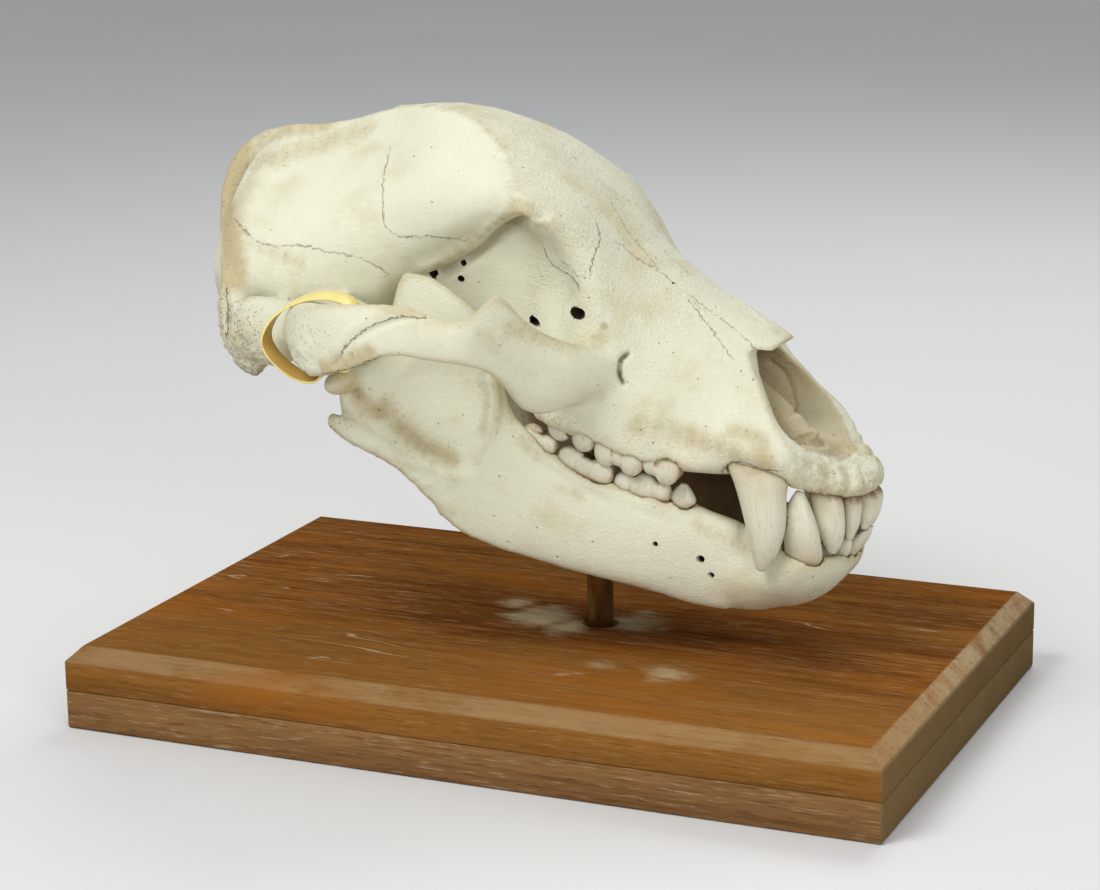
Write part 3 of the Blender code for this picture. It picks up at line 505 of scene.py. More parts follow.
# Cheek teeth: x from and to, y, half-width, gum height at the rear and the front, cusp height at the
# rear and the front; then the cusps: share along, share across to the cheek side, height, half-width
CHEEK_TEETH = {
    "upper_premolar_4": (
        (61.6, 80.6, 38.0, 7.2, 4.0, 3.0, -8.4, -9.6),
        ((0.62, 1.0, 1.0, 6.6), (0.20, 1.0, 0.80, 4.6), (0.36, -1.0, 0.7, 5.0)),
    ),
    "upper_molar_1": (
        (36.6, 62.0, 37.8, 8.6, 5.0, 4.0, -7.6, -10.0),
        ((0.76, 1.0, 1.0, 6.6), (0.26, 1.0, 1.0, 6.6), (0.75, -1.0, 0.8, 6.0), (0.27, -1.0, 0.78, 6.2)),
    ),
    "upper_molar_2": (
        (3.0, 37.4, 37.4, 9.4, 13.0, 9.2, 6.0, -4.8),
        ((0.82, 1.0, 1.10, 7.0), (0.46, 1.0, 1.30, 7.0), (0.80, -1.0, 0.85, 6.4), (0.46, -1.0, 0.9, 6.4),
         (0.17, 0.5, 0.95, 5.8), (0.17, -0.6, 0.90, 5.4)),
    ),
    "lower_molar_1": (
        (47.0, 74.0, 33.6, 6.2, -19.2, -17.4, -8.4, -7.0),
        ((0.88, 0.6, 0.80, 4.6), (0.58, 1.0, 1.05, 6.2), (0.58, -0.9, 1.0, 5.0), (0.20, 1.0, 0.92, 5.8),
         (0.20, -0.9, 0.95, 4.8)),
    ),
    "lower_molar_2": (
        (18.0, 47.0, 36.0, 7.0, -12.6, -16.4, -2.2, -7.2),
        ((0.76, 1.0, 0.96, 7.4), (0.74, -1.0, 0.94, 6.4), (0.25, 1.0, 1.0, 7.2), (0.27, -1.0, 0.98, 6.2)),
    ),
    "lower_molar_3": (
        (0.2, 18.0, 39.2, 6.4, -3.0, -9.6, 4.4, -2.2),
        ((0.72, 0.8, 0.94, 5.4), (0.70, -0.8, 0.96, 5.0), (0.26, 0.2, 0.95, 5.4)),
    ),
}
ROOT_LENGTH = 9.0
# How far a pointed tooth runs on past its last rings, as shares of the last step
ROOT_RUN_OUT, TIP_RUN_OUT = 0.25, 0.1
POINTED_SQUARENESS, BROAD_SQUARENESS = 2.15, 3.2
# How much of a cusp's height and of the tooth's half-width its knob takes up
CUSP_TALL, CUSP_DEEP = 0.70, 0.58
# A cheek tooth's body under its cusps: share of its full outline, and height from gum 0 to cusp 1
BODY_RINGS = ((0.62, -0.9), (0.80, -0.4), (0.89, 0.0), (0.92, 0.35), (0.86, 0.58), (0.66, 0.76))
# A cheek tooth's skin: size of its faces, rounds of relaxing, and how strong a round is
TOOTH_SKIN = (0.55, 2, 0.5)
ENAMEL_PALE = (0.70, 0.675, 0.53, 1.0)
ENAMEL_WARM = (0.58, 0.50, 0.31, 1.0)
TOOTH_TAN = (0.46, 0.33, 0.16, 1.0)
# Dark brown for stains and cracks, and for painted shade in grooves and between teeth
TOOTH_STAIN_AND_SHADE = (0.15, 0.080, 0.030, 1.0)


def smooth_path(stations, steps):
    """Points of a smooth curve through stations, with steps to a span."""
    rows = np.array(stations, float)
    rows = np.concatenate([[2 * rows[0] - rows[1]], rows, [2 * rows[-1] - rows[-2]]])
    points = []
    t = (np.arange(steps) / steps).reshape(-1, *[1] * (rows.ndim - 1))
    for before, start, end, after in zip(rows, rows[1:], rows[2:], rows[3:]):
        bend = (2 * before - 5 * start + 4 * end - after) * t**2
        twist = (3 * start - before - 3 * end + after) * t**3
        points.append((2 * start + (end - before) * t + bend + twist) / 2)
    return np.concatenate([*points, [rows[-2]]])


def points_of(piece):
    """A piece's vertices as an array."""
    flat = np.empty(3 * len(piece.data.vertices), np.float32)
    piece.data.vertices.foreach_get("co", flat)
    return flat.reshape(-1, 3).astype(float)


def move_points(piece, points):
    """Moves a piece's vertices."""
    piece.data.vertices.foreach_set("co", np.asarray(points, np.float32).ravel())
    piece.data.update()


def face_outwards(piece):
    """Turns every face of a closed piece outwards."""
    alone(piece)
    bpy.ops.object.mode_set(mode="EDIT")
    bpy.ops.mesh.select_all(action="SELECT")
    bpy.ops.mesh.normals_make_consistent(inside=False)
    bpy.ops.object.mode_set(mode="OBJECT")


def form_through(name, rings, ends):
    """A closed form: a ball whose circles of points are moved onto rings, and its poles to the ends."""
    rings = np.asarray(rings)
    count, around = rings.shape[:2]
    bpy.ops.object.select_all(action="DESELECT")
    bpy.ops.mesh.primitive_uv_sphere_add(segments=around, ring_count=count + 1, radius=1.0)
    form = bpy.context.object
    form.name = name
    ball = points_of(form)
    row = np.rint(np.arccos(np.clip(ball[:, 2], -1, 1)) * (count + 1) / np.pi).astype(int)
    turn = np.rint(np.arctan2(ball[:, 1], ball[:, 0]) * around / math.tau).astype(int) % around
    first, last = (np.broadcast_to(np.asarray(end, float), (1, around, 3)) for end in ends)
    move_points(form, np.concatenate([first, rings, last])[row, turn])
    face_outwards(form)
    return form


def oval(centre, half_up, half_across, around, squareness=2.0):
    """A ring of points about a centre, squarer where the last number is greater."""
    turns = np.arange(around) * math.tau / around
    up, across = np.cos(turns), np.sin(turns)
    reach = (np.abs(up) ** squareness + np.abs(across) ** squareness) ** (-1 / squareness)
    return centre + np.outer(up * reach, half_up) + np.outer(across * reach, half_across)


def knob(name, centre, half_sizes, side=1, turn=0.0, fineness=40):
    """A rounded lump, or the cutter for a rounded hollow."""
    bpy.ops.object.select_all(action="DESELECT")
    bpy.ops.mesh.primitive_uv_sphere_add(segments=fineness, ring_count=fineness // 2, radius=1.0)
    form = bpy.context.object
    form.name = name
    form.scale = half_sizes
    form.rotation_euler.z = turn * side
    form.location = (centre[0], centre[1] * side, centre[2])
    bpy.ops.object.transform_apply(location=True, rotation=True, scale=True)
    return form


def joined(name, forms):
    """Joins forms into one object."""
    alone(forms[0])
    for form in forms:
        form.select_set(True)
    bpy.ops.object.join()
    forms[0].name = name
    return forms[0]


def skin_over(piece, voxel, relaxing, factor):
    """Gives a piece one new closed skin of even small faces, and relaxes it."""
    skin = piece.modifiers.new("skin", "REMESH")
    skin.mode = "VOXEL"
    skin.voxel_size = voxel
    relax = piece.modifiers.new("relax", "SMOOTH")
    relax.factor = factor
    relax.iterations = relaxing
    return apply_modifiers(piece)


def pointed_tooth(name, stations, side):
    """A tooth with one point, its rings from root to tip."""
    rings = []
    for x, y, z, half_length, half_width in smooth_path(stations, 7):
        rings.append(oval((x, y * side, z), (half_length, 0, 0), (0, half_width, 0), 32, POINTED_SQUARENESS))
    root, tip = np.array(stations[0][:3], float), np.array(stations[-1][:3], float)
    root += (root - np.array(stations[1][:3])) * ROOT_RUN_OUT
    tip += (tip - np.array(stations[-2][:3])) * TIP_RUN_OUT
    mirror = np.array((1, side, 1))
    tooth = form_through(name, rings, (root * mirror, tip * mirror))
    gum = stations[2][2]
    note_crown(tooth, gum, gum, stations[-1][2], stations[-1][2], stations[2][0] - 1, stations[2][0] + 1)
    return tooth


def note_crown(tooth, gum_rear, gum_front, cusp_rear, cusp_front, start, end):
    """Keeps on each point how far up the crown it is: 0 at the gum, 1 at the cusps."""
    points = points_of(tooth)
    share = np.clip((points[:, 0] - start) / (end - start), 0, 1)
    gum = gum_rear + (gum_front - gum_rear) * share
    cusp = cusp_rear + (cusp_front - cusp_rear) * share
    note(tooth, "crown", (points[:, 2] - gum) / (cusp - gum))


def note(piece, name, values):
    """Keeps a number on each of a piece's points, for its material."""
    if name not in piece.data.attributes:
        piece.data.attributes.new(name, "FLOAT", "POINT")
    piece.data.attributes[name].data.foreach_set("value", np.asarray(values, np.float32))


def directions_of(piece):
    """The way each vertex faces."""
    flat = np.empty(3 * len(piece.data.vertices), np.float32)
    piece.data.vertex_normals.foreach_get("vector", flat)
    return flat.reshape(-1, 3).astype(float)


def averaged(piece, values, times):
    """Values evened out between neighbouring points."""
    edges = np.empty(2 * len(piece.data.edges), np.int32)
    piece.data.edges.foreach_get("vertices", edges)
    one, other = edges.reshape(-1, 2).T
    count = len(piece.data.vertices)
    neighbours = np.bincount(one, minlength=count) + np.bincount(other, minlength=count)
    values = np.array(values, float).reshape(count, -1)
    for _ in range(times):
        total = np.zeros_like(values)
        for column in range(values.shape[1]):
            total[:, column] = np.bincount(one, values[other, column], count)
            total[:, column] += np.bincount(other, values[one, column], count)
        values = total / np.maximum(neighbours, 1)[:, None]
    return values


def hollows_of(piece, times_evened):
    """How deep each point lies below the even surface round it, less than 0 where it stands out."""
    points = points_of(piece)
    return ((averaged(piece, points, times_evened) - points) * directions_of(piece)).sum(1)


def rise(values, start, end):
    """0 up to the start and 1 from the end on, straight between them; the end may be the lower one."""
    return np.clip((values - start) / (end - start), 0, 1)


def cheek_tooth(name, spec, cusps, side):
    """A broad tooth: a low body on its roots with rounded cusps standing on it."""
    start, end, y, half_width, gum_rear, gum_front, cusp_rear, cusp_front = spec
    middle, half_length = (start + end) / 2, (end - start) / 2
    rings = []
    for spread, part in smooth_path(BODY_RINGS, 3):
        reach = ((half_length * spread, 0, 0), (0, half_width * spread, 0))
        ring = oval((middle, y, 0.0), *reach, 40, BROAD_SQUARENESS)
        share = (ring[:, 0] - start) / (end - start)
        gum = gum_rear + (gum_front - gum_rear) * share
        cusp = cusp_rear + (cusp_front - cusp_rear) * share
        ring[:, 2] = gum + (cusp - gum) * part
        rings.append(ring * (1, side, 1))
    forms = [form_through(name, rings, [np.mean(rings[k], 0) for k in (0, -1)])]
    for along, across, height, wide in cusps:
        gum = gum_rear + (gum_front - gum_rear) * along
        cusp = cusp_rear + (cusp_front - cusp_rear) * along
        top = gum + (cusp - gum) * height
        tall = abs(top - gum) * CUSP_TALL
        centre_z = top + math.copysign(tall, gum - top)
        deep = half_width * CUSP_DEEP
        centre = (start + (end - start) * along, y + across * (half_width - deep), centre_z)
        forms.append(knob(name, centre, (wide, deep, tall), side, fineness=28))
    down = math.copysign(1.0, gum_rear - cusp_rear)
    for along in (0.24, 0.76):
        x = start + (end - start) * along
        gum = gum_rear + (gum_front - gum_rear) * along
        root = (x, y, gum + down * ROOT_LENGTH * 0.5)
        half_sizes = (half_length * 0.36, half_width * 0.62, ROOT_LENGTH * 0.8)
        forms.append(knob(name, root, half_sizes, side, fineness=20))
    tooth = skin_over(joined(name, forms), *TOOTH_SKIN)
    note_crown(tooth, gum_rear, gum_front, cusp_rear, cusp_front, start, end)
    facing = directions_of(tooth)
    # Grime and painted shade: darker in the tooth's hollows, where it touches its neighbours and on the face
    # that meets the other jaw
    touching = rise(np.abs(facing[:, 0]), 0.55, 0.90) * 0.55
    chewing = rise(-facing[:, 2] * down, 0.45, 0.85) * 0.42
    note(tooth, "grime", rise(hollows_of(tooth, 34), -0.10, 0.22) + np.maximum(touching, chewing))
    return tooth


teeth = []
for side, side_word in ((1, "left"), (-1, "right")):
    for tooth_name, stations in POINTED_TEETH.items():
        teeth.append(pointed_tooth(f"{tooth_name}.{side_word}", stations, side))
    for tooth_name, (spec, cusps) in CHEEK_TEETH.items():
        teeth.append(cheek_tooth(f"{tooth_name}.{side_word}", spec, cusps, side))
upper_teeth = [tooth for tooth in teeth if tooth.name.startswith("upper")]
lower_teeth = [tooth for tooth in teeth if tooth.name.startswith("lower")]
pointed_teeth = [tooth for tooth in teeth if tooth.name.split(".")[0] in POINTED_TEETH]

# How much larger than its tooth a socket is, in millimetres
SOCKET_GAP = 0.45
# Turns metres into millimetres, which the patterns on bone, teeth and band are sized in
MILLIMETRES = (1000.0, 1000.0, 1000.0)
ENAMEL_RELIEF = 0.00010


def grown_copy(tooth):
    """A cutter a little larger than a tooth all over, for its socket."""
    alone(tooth)
    bpy.ops.object.duplicate()
    socket = bpy.context.object
    socket.name = tooth.name + ".socket"
    move_points(socket, points_of(socket) + directions_of(socket) * SOCKET_GAP)
    return socket


def own_number(tree, name):
    """The number that each of a piece's points keeps under this name."""
    return node(tree, "Attribute", attribute_name=name).outputs["Fac"]


enamel, tree, shader = material("enamel", Specular_IOR_Level=0.45, Subsurface_Weight=0.0)
place = object_place(tree, MILLIMETRES)
crown = own_number(tree, "crown")
drift = speckle(tree, place, 0.22, 3.0, 0.6)
streaks = speckle(tree, place, 1.3, 3.0, 0.6, (1.0, 1.0, 0.10))
paling = step_up(tree, sum_of(tree, "MULTIPLY_ADD", drift, 0.5, crown), 0.0, 0.75)
colour = colour_mix(tree, paling, ENAMEL_WARM, ENAMEL_PALE)
colour = laid_over(tree, colour, ENAMEL_WARM, step_up(tree, streaks, 0.48, 0.75), 0.45)
neck = step_up(tree, sum_of(tree, "MULTIPLY_ADD", drift, 0.16, crown), 0.17, -0.04)
colour = laid_over(tree, colour, TOOTH_STAIN_AND_SHADE, neck, 0.8)
cracks = line_in(tree, speckle(tree, place, 0.42, 2.0, 0.5, (1.0, 1.0, 0.07)), 0.5, 0.010)
cracked = times(tree, cracks, step_up(tree, drift, 0.42, 0.62))
colour = laid_over(tree, colour, TOOTH_STAIN_AND_SHADE, cracked, 0.4)
# Tan, then dark brown, for grime and painted shade in the grooves and between the teeth
grime_and_shade = sum_of(tree, "MULTIPLY_ADD", drift, 0.7, own_number(tree, "grime"))
colour = laid_over(tree, colour, TOOTH_TAN, step_up(tree, grime_and_shade, 0.42, 0.95), 0.65)
colour = laid_over(tree, colour, TOOTH_STAIN_AND_SHADE, step_up(tree, grime_and_shade, 0.78, 1.15), 0.9)
tree.links.new(colour, shader.inputs["Base Color"])
tree.links.new(sum_of(tree, "MULTIPLY_ADD", streaks, 0.18, 0.24), shader.inputs["Roughness"])
bump(tree, shader, sum_of(tree, "SUBTRACT", times(tree, streaks, 0.5), cracked), ENAMEL_RELIEF)

# The cranium is dry cream-coloured bone, all grown as one: braincase, face, cheek-bone arches, crests
# and the knobs under the rear. It sits on the post, nose down. The nose opens to a real cavity with
# thin scrolled bone in it, and each upper tooth has its own socket.
# The cranium's cross-sections: x, height of the mid-line above, nine points (y, z) of the left
# half from the crown round to the underside, and height of the mid-line below
CRANIUM_SECTIONS = (
    (-172, 91, (10, 88), (22, 79), (32, 66), (39, 52),
     (41, 40), (38, 28), (30, 18), (22, 12), (12, 9), 9),
    (-160, 103, (4, 100), (19, 89), (36, 75), (46, 60),
     (50, 45), (50, 32), (44, 20), (32, 11), (16, 7), 7),
    (-145, 108, (4, 105), (16, 94), (36, 79), (48, 62),
     (53, 47), (53, 34), (48, 20), (34, 8), (16, 6), 6),
    (-125, 115, (4, 112), (16, 101), (37, 85), (49, 68),
     (54, 52), (54, 38), (49, 22), (36, 7), (16, 5), 6),
    (-105, 124.5, (5, 121), (17, 110), (36, 93), (48, 75),
     (52, 58), (50, 42), (44, 26), (34, 11), (16, 7), 8),
    (-85, 131, (7, 130), (14, 127), (33, 109), (46, 90),
     (49, 72), (47, 52), (41, 34), (30, 18), (14, 11), 11),
    (-68, 132.5, (9, 132.5), (18, 130), (36, 118), (47, 99),
     (48, 80), (43, 62), (34, 44), (26, 26), (12, 18), 18),
    (-52, 132, (13, 132), (25, 128), (40, 118), (47, 102),
     (47, 86), (40, 74), (33, 62), (26, 36), (12, 26), 26),
    (-38, 130, (17, 129.5), (32, 123), (44, 112), (48, 99),
     (45, 90), (36, 82), (31, 64), (25, 36), (12, 30), 30),
    (-26, 127, (20, 126.5), (38, 119), (49, 109), (49, 100),
     (41, 92), (34, 80), (31, 62), (27, 32), (16, 28), 30),
    (-14, 122, (22, 122), (44, 113), (54, 105), (51, 99),
     (41, 91), (35, 76), (32, 55), (30, 26), (20, 22), 26),
    (-5, 117, (24, 117.5), (47, 109), (58, 102.5), (52, 97.5),
     (41, 86), (36, 68), (36, 50), (38, 12), (28, 10), 19),
    (5, 111.5, (22, 112), (41, 107.5), (51, 101.5), (50, 96),
     (43, 85), (39, 68), (43, 44), (45, 10), (31, 9), 17),
    (15, 104.5, (18, 105.5), (34, 101.8), (44, 97), (48, 90),
     (47, 79), (44, 66), (49, 42), (46.5, 9.5), (30, 8), 16),
    (24, 98.5, (14, 98.5), (27, 95.5), (38, 91.5), (45, 86),
     (50, 76), (52, 64), (54, 42), (47.5, 8), (30, 6), 15),
    (36, 90.5, (11, 90), (22, 86), (32, 81.5), (41, 75),
     (48, 65), (53, 53), (52, 32), (47.5, 5), (30, 3), 15),
    (52, 81.5, (10, 81), (18, 78), (28, 72.5), (36, 65.5),
     (42, 54.5), (46, 42), (48.5, 26), (47, 1), (30, 0.5), 15),
    (66, 74.5, (10, 74), (17, 72), (26, 67), (33, 59),
     (38, 49), (42, 37), (46, 22), (45.5, 0), (29, 0), 14),
    (84, 68.5, (10, 68.5), (17, 66), (24, 60.5), (30, 52),
     (35, 42), (38.5, 31), (42.5, 18), (43, 1.5), (27, 1), 13),
    (100, 63.5, (9, 63), (17, 60), (23, 54), (28, 46),
     (34, 38), (40.5, 29), (47, 18.5), (41.5, 5), (26, 2), 12),
    (112, 58.5, (8, 58), (16, 55), (23, 49.5), (29, 42.5),
     (35, 34.5), (42, 26.5), (49, 18.5), (42.5, 9), (26, 5), 11),
    (122, 53, (8, 51.5), (16, 48.5), (23, 43), (29.5, 37),
     (37.5, 30.5), (42.5, 24), (47.5, 18), (42, 8.5), (24, 5), 10),
    (132, 45, (8, 44), (16, 42), (22, 38), (28.5, 33),
     (36, 27.5), (39.5, 21), (41, 13.5), (36.5, 4.5), (20, 3), 8),
    (142, 28, (8, 28), (14, 26), (20, 22.5), (24.5, 18.5),
     (28.5, 14.5), (31, 10.5), (31, 6), (27, 1.5), (16, 1), 6),
    (152, 18, (5, 17.5), (10, 16), (15, 13.5), (19, 11),
     (22.5, 8.5), (24.5, 6), (24, 3.5), (20, 0.5), (12, 0), 3),
    (158, 13.0, (4, 12.8), (7, 12), (10, 11), (13, 9.5),
     (15.5, 7.8), (16.8, 5.8), (16.4, 3.3), (12, 1.3), (7, 1.3), 2.3),
    (161.6, 10.4, (2.8, 10.2), (5, 9.6), (7, 8.8), (8.8, 7.8),
     (10, 6.6), (10, 5.2), (9, 3.6), (6, 2.4), (3.4, 2.4), 3),
)
CRANIUM_ENDS = ((-174, 0, 48), (163.4, 0, 6.4))

# The cheek-bone arch from its root on the braincase to the face: x, y and z of its upper edge,
# y and z of its lower edge, thickness
ARCH_STATIONS = (
    (-96, 50, 43, 50, 24, 38),
    (-94, 70, 44, 68, 20, 35),
    (-92, 86, 46.5, 84, 20, 30),
    (-86, 98.5, 50, 97.5, 17, 18),
    (-76, 106, 54.5, 105, 19, 9),
    (-60, 108.5, 59, 108, 27, 7.5),
    (-42, 108, 62.5, 108, 38, 7),
    (-24, 104.5, 60.5, 104, 39.5, 7),
    (-12, 100, 61.5, 98.5, 39, 7),
    (-3, 94, 74, 90, 36.5, 7),
    (3, 88.5, 71, 79, 28, 9),
    (8, 83, 64, 68, 17, 12),
    (16, 74, 57, 61, 15, 15),
    (26, 65, 52, 54, 21, 18),
    (36, 54, 50, 48, 28, 14),
    (45, 45, 48, 42, 31, 10),
)

# The nuchal crest from the crown down to the mastoid: x, y, z, half its width
NUCHAL_CREST = (
    (-171, 0, 100, 6),
    (-180, 4, 93, 7),
    (-185, 10, 84, 8),
    (-184, 19, 73, 8),
    (-178.5, 30, 62.5, 8),
    (-171.5, 40, 52, 8),
    (-163.5, 50, 42, 8),
    (-157, 60, 31, 7),
    (-151.5, 68, 22, 7),
    (-144, 73, 12, 7),
    (-134, 72, 3, 6),
)
CREST_HALF_THICKNESS = 3.0
ARCH_SQUARENESS = 2.4
BRAIN_CENTRE = np.array((-120, 0, 50))

# Knobs of the skull's rear and underside, and the cheek's swelling over the last upper tooth, on each
# side: centre and half-sizes
CRANIUM_KNOBS = (
    ((-164, 19, 9), (12, 10, 12)),
    ((-166, 15, 2), (10, 9, 7)),
    ((-126, 66, 18), (20, 13, 14)),
    ((-110, 34, 9), (24, 15, 10)),
    ((-93, 72, 21), (5, 20, 10)),
    ((-118, 62, 30), (26, 8, 6)),
    ((18, 40, 17), (17, 8, 8)),
    ((23, 45.2, 9.6), (15, 6.3, 5.4)),
)
# The keel along the top of the braincase: x, y, top, bottom, thickness
TOP_KEEL = (
    (-173, 0, 97.5, 86, 6),
    (-164, 0, 103, 90, 6),
    (-148, 0, 107.5, 94, 6),
    (-135, 0, 110, 98, 7),
    (-124, 0, 115.5, 103, 8),
    (-112, 0, 121.5, 108, 9),
    (-100, 0, 126.5, 112, 10),
)
# The blunt process that hangs down behind each ear: x, y, top, bottom, thickness
MASTOID_STATIONS = (
    (-156, 48, 34, 12, 14),
    (-149, 56, 32, 6, 17),
    (-141, 62, 28, 1, 18),
    (-133, 65, 22, -4, 15),
    (-126, 68, 16, -2, 10),
)

# The plate beside the rear opening of the nose: x, y, top, bottom, thickness
PTERYGOID_STATIONS = (
    (-58, 15, 30, 20, 4),
    (-48, 17, 34, 8, 4),
    (-34, 19, 34, 12, 4),
    (-20, 21, 32, 14, 5),
    (-8, 23, 30, 16, 5),
)

# The nose opening: the side view of what is cut away above its rim, x and z
NOSE_RIM = (
    (95, 57.8),
    (98.5, 53),
    (103, 47.5),
    (109.5, 40.5),
    (115.5, 34),
    (121.5, 29.2),
    (127, 25),
    (133, 20.8),
    (138.5, 17.8),
    (145, 15),
    (152, 12.5),
    (170, 11),
)
# The tip of the bone that overhangs it, and the rest of that cut, clear of the bone in front and above
NASAL_TIP = (105, 58)
NOSE_FRONT = ((185, 11), (185, 110), (113, 110), (107, 62))
NOSE_CUT_HALF_WIDTH = 60
# The nose cavity behind it: x, half-width, top, bottom
NOSE_CAVITY = (
    (62, 6, 52, 34),
    (72, 14, 58, 24),
    (86, 18, 58, 20),
    (100, 22, 56, 17),
    (112, 28, 50, 15.5),
    (122, 32.5, 46, 15),
    (131, 31, 42, 14.5),
    (140, 22, 38, 14),
    (147, 12, 30, 14),
)
NOSE_CAVITY_ENDS = ((60, 0, 43), (151, 0, 22))
# The low ridge of thin scrolled bone left standing in it: x, half-width, top, bottom
TURBINATE = (
    (70, 3, 44, 20),
    (88, 6, 44, 14),
    (104, 7, 36, 12),
    (118, 6, 28, 12),
    (128, 3, 20, 12),
)
TURBINATE_ENDS = ((58, 0, 32), (131, 0, 14))
# The jaw's hinge knob, and how much larger than it its socket in the cranium is all round
HINGE_KNOB = ((-77.5, 74.4, 11), (6.5, 20.4, 6.5))
HINGE_ROOM = 4.0
# The opening for the spinal cord: mouth, way in, radius and depth; then the nose's rear opening
SPINE_HOLE = ((-184, 0, 21), (1.0, 0.0, 0.0), 12.5, 34)
CHOANA = ((-22, 0, 26), (20, 10, 9))
# A bone's forms grow together in one skin, and it gets a finer one once its hollows are cut
# Each skin: size of its faces, rounds of relaxing, and how strong a round is
LUMP_SKIN = (1.3, 9, 0.5)
BONE_SKIN = (1.15, 2, 0.4)
BONE_PALE = (0.76, 0.755, 0.58, 1.0)
BONE_CREAM = (0.67, 0.62, 0.405, 1.0)
BONE_TAN = (0.51, 0.410, 0.205, 1.0)
BONE_BROWN = (0.22, 0.14, 0.06, 1.0)
# Painted shade inside holes and slits
BONE_HOLE_SHADE = (0.03, 0.016, 0.008, 1.0)
# Painted shade inside the nose and mouth
BONE_INSIDE_SHADE = (0.22, 0.150, 0.068, 1.0)


def smooth_loop(stations, steps):
    """The same for a closed loop."""
    rows = np.array(stations, float)
    wrapped = np.concatenate([rows[-1:], rows, rows[:2]])
    return smooth_path(wrapped, steps)[steps : -steps - 1][: len(rows) * steps]


def body_form(name, sections, ends, steps=7, corner_steps=6):
    """A form alike on both sides of the middle, through half-sections."""
    flat = [[x, top, *[value for point in side for value in point], low] for x, top, *side, low in sections]
    rows = smooth_path(flat, steps)
    half = rows[:, 2:-1].reshape(len(rows), -1, 2)
    middle = np.zeros(len(rows))
    above = np.stack([middle, rows[:, 1]], 1)[:, None]
    below = np.stack([middle, rows[:, -1]], 1)[:, None]
    outline = np.concatenate([above, half, below, half[:, ::-1] * (-1, 1)], 1)
    loops = smooth_loop(outline.transpose(1, 0, 2), corner_steps).transpose(1, 0, 2)
    along = np.repeat(rows[:, :1], loops.shape[1], 1)[..., None]
    return form_through(name, np.concatenate([along, loops], 2), ends)


def leaning_bar(name, stations, side, steps=6, around=28, ends=None, squareness=2.0):
    """A bar on edge: x, y and z of its upper and lower edge, and thickness, at each station."""
    rows = smooth_path(stations, steps)
    rings = []
    for k, (x, upper_y, top, lower_y, bottom, thickness) in enumerate(rows):
        before, after = rows[max(k - 1, 0)], rows[min(k + 1, len(rows) - 1)]
        run_x = after[0] - before[0]
        run_y = (after[1] + after[3] - before[1] - before[3]) / 2
        across = np.array((-run_y, run_x, 0.0)) / math.hypot(run_x, run_y) * thickness / 2
        upper, lower = np.array((x, upper_y, top)), np.array((x, lower_y, bottom))
        rings.append(oval((upper + lower) / 2, (upper - lower) / 2, across, around, squareness))
    rings = np.array(rings)
    if ends is None:
        ends = (rings[0].mean(0), rings[-1].mean(0))
    mirror = np.array((1, side, 1))
    return form_through(name, rings * mirror, [np.array(end) * mirror for end in ends])


def upright_bar(name, stations, side, around=20):
    """The same where both edges share one y: x, y, top, bottom, thickness."""
    leaning = [(x, y, top, y, bottom, thickness) for x, y, top, bottom, thickness in stations]
    return leaning_bar(name, leaning, side, around=around)


def level_form(name, stations, ends, around=32):
    """A form along the skull's middle: x, half-width, top, bottom at each station."""
    rings = []
    for x, half_width, top, bottom in smooth_path(stations, 5):
        centre = np.array((x, 0, (top + bottom) / 2))
        rings.append(oval(centre, (0, 0, (top - bottom) / 2), (0, half_width, 0), around))
    return form_through(name, rings, ends)


def drill(mouth, direction, radius, depth, side=1, sides=20):
    """A round cutter from outside the mouth down to depth."""
    bpy.ops.object.select_all(action="DESELECT")
    bpy.ops.mesh.primitive_cylinder_add(vertices=sides, radius=radius, depth=2 * depth)
    form = bpy.context.object
    form.name = "drill"
    axis = Vector((direction[0], direction[1] * side, direction[2]))
    form.rotation_euler = axis.to_track_quat("Z", "Y").to_euler()
    form.location = (mouth[0], mouth[1] * side, mouth[2])
    bpy.ops.object.transform_apply(location=True, rotation=True, scale=True)
    return form


def crest(side):
    """The raised edge round the back of the skull, on one side."""
    rows = smooth_path(NUCHAL_CREST, 6)
    rings = []
    for k, (x, y, z, half_width) in enumerate(rows):
        along = rows[min(k + 1, len(rows) - 1), :3] - rows[max(k - 1, 0), :3]
        along /= np.linalg.norm(along)
        centre = np.array((x, y, z))
        outward = centre - BRAIN_CENTRE
        across = np.cross(along, outward)
        across /= np.linalg.norm(across)
        outward = np.cross(across, along)
        outward *= half_width
        rings.append(oval(centre - outward, outward, across * CREST_HALF_THICKNESS, 20))
    rings = np.array(rings)
    ends = [rings[k].mean(0) for k in (0, -1)]
    mirror = np.array((1, side, 1))
    return form_through("crest", rings * mirror, [end * mirror for end in ends])


def flat_cutter(name, outline, half_width):
    """A flat outline in x and z, made equally thick to both sides of the skull's middle."""
    curve = bpy.data.curves.new(name, "CURVE")
    curve.dimensions = "2D"
    curve.fill_mode = "BOTH"
    curve.extrude = half_width
    spline = curve.splines.new("POLY")
    spline.points.add(len(outline) - 1)
    for point, (x, z) in zip(spline.points, outline):
        point.co = (x, z, 0.0, 1.0)
    spline.use_cyclic_u = True
    drawn = bpy.data.objects.new(name, curve)
    bpy.context.scene.collection.objects.link(drawn)
    alone(drawn)
    bpy.ops.object.convert(target="MESH")
    form = bpy.context.object
    form.rotation_euler.x = math.pi / 2
    bpy.ops.object.transform_apply(location=True, rotation=True, scale=True)
    bpy.ops.object.mode_set(mode="EDIT")
    bpy.ops.mesh.select_all(action="SELECT")
    bpy.ops.mesh.remove_doubles(threshold=0.01)
    bpy.ops.mesh.normals_make_consistent(inside=False)
    bpy.ops.object.mode_set(mode="OBJECT")
    return form


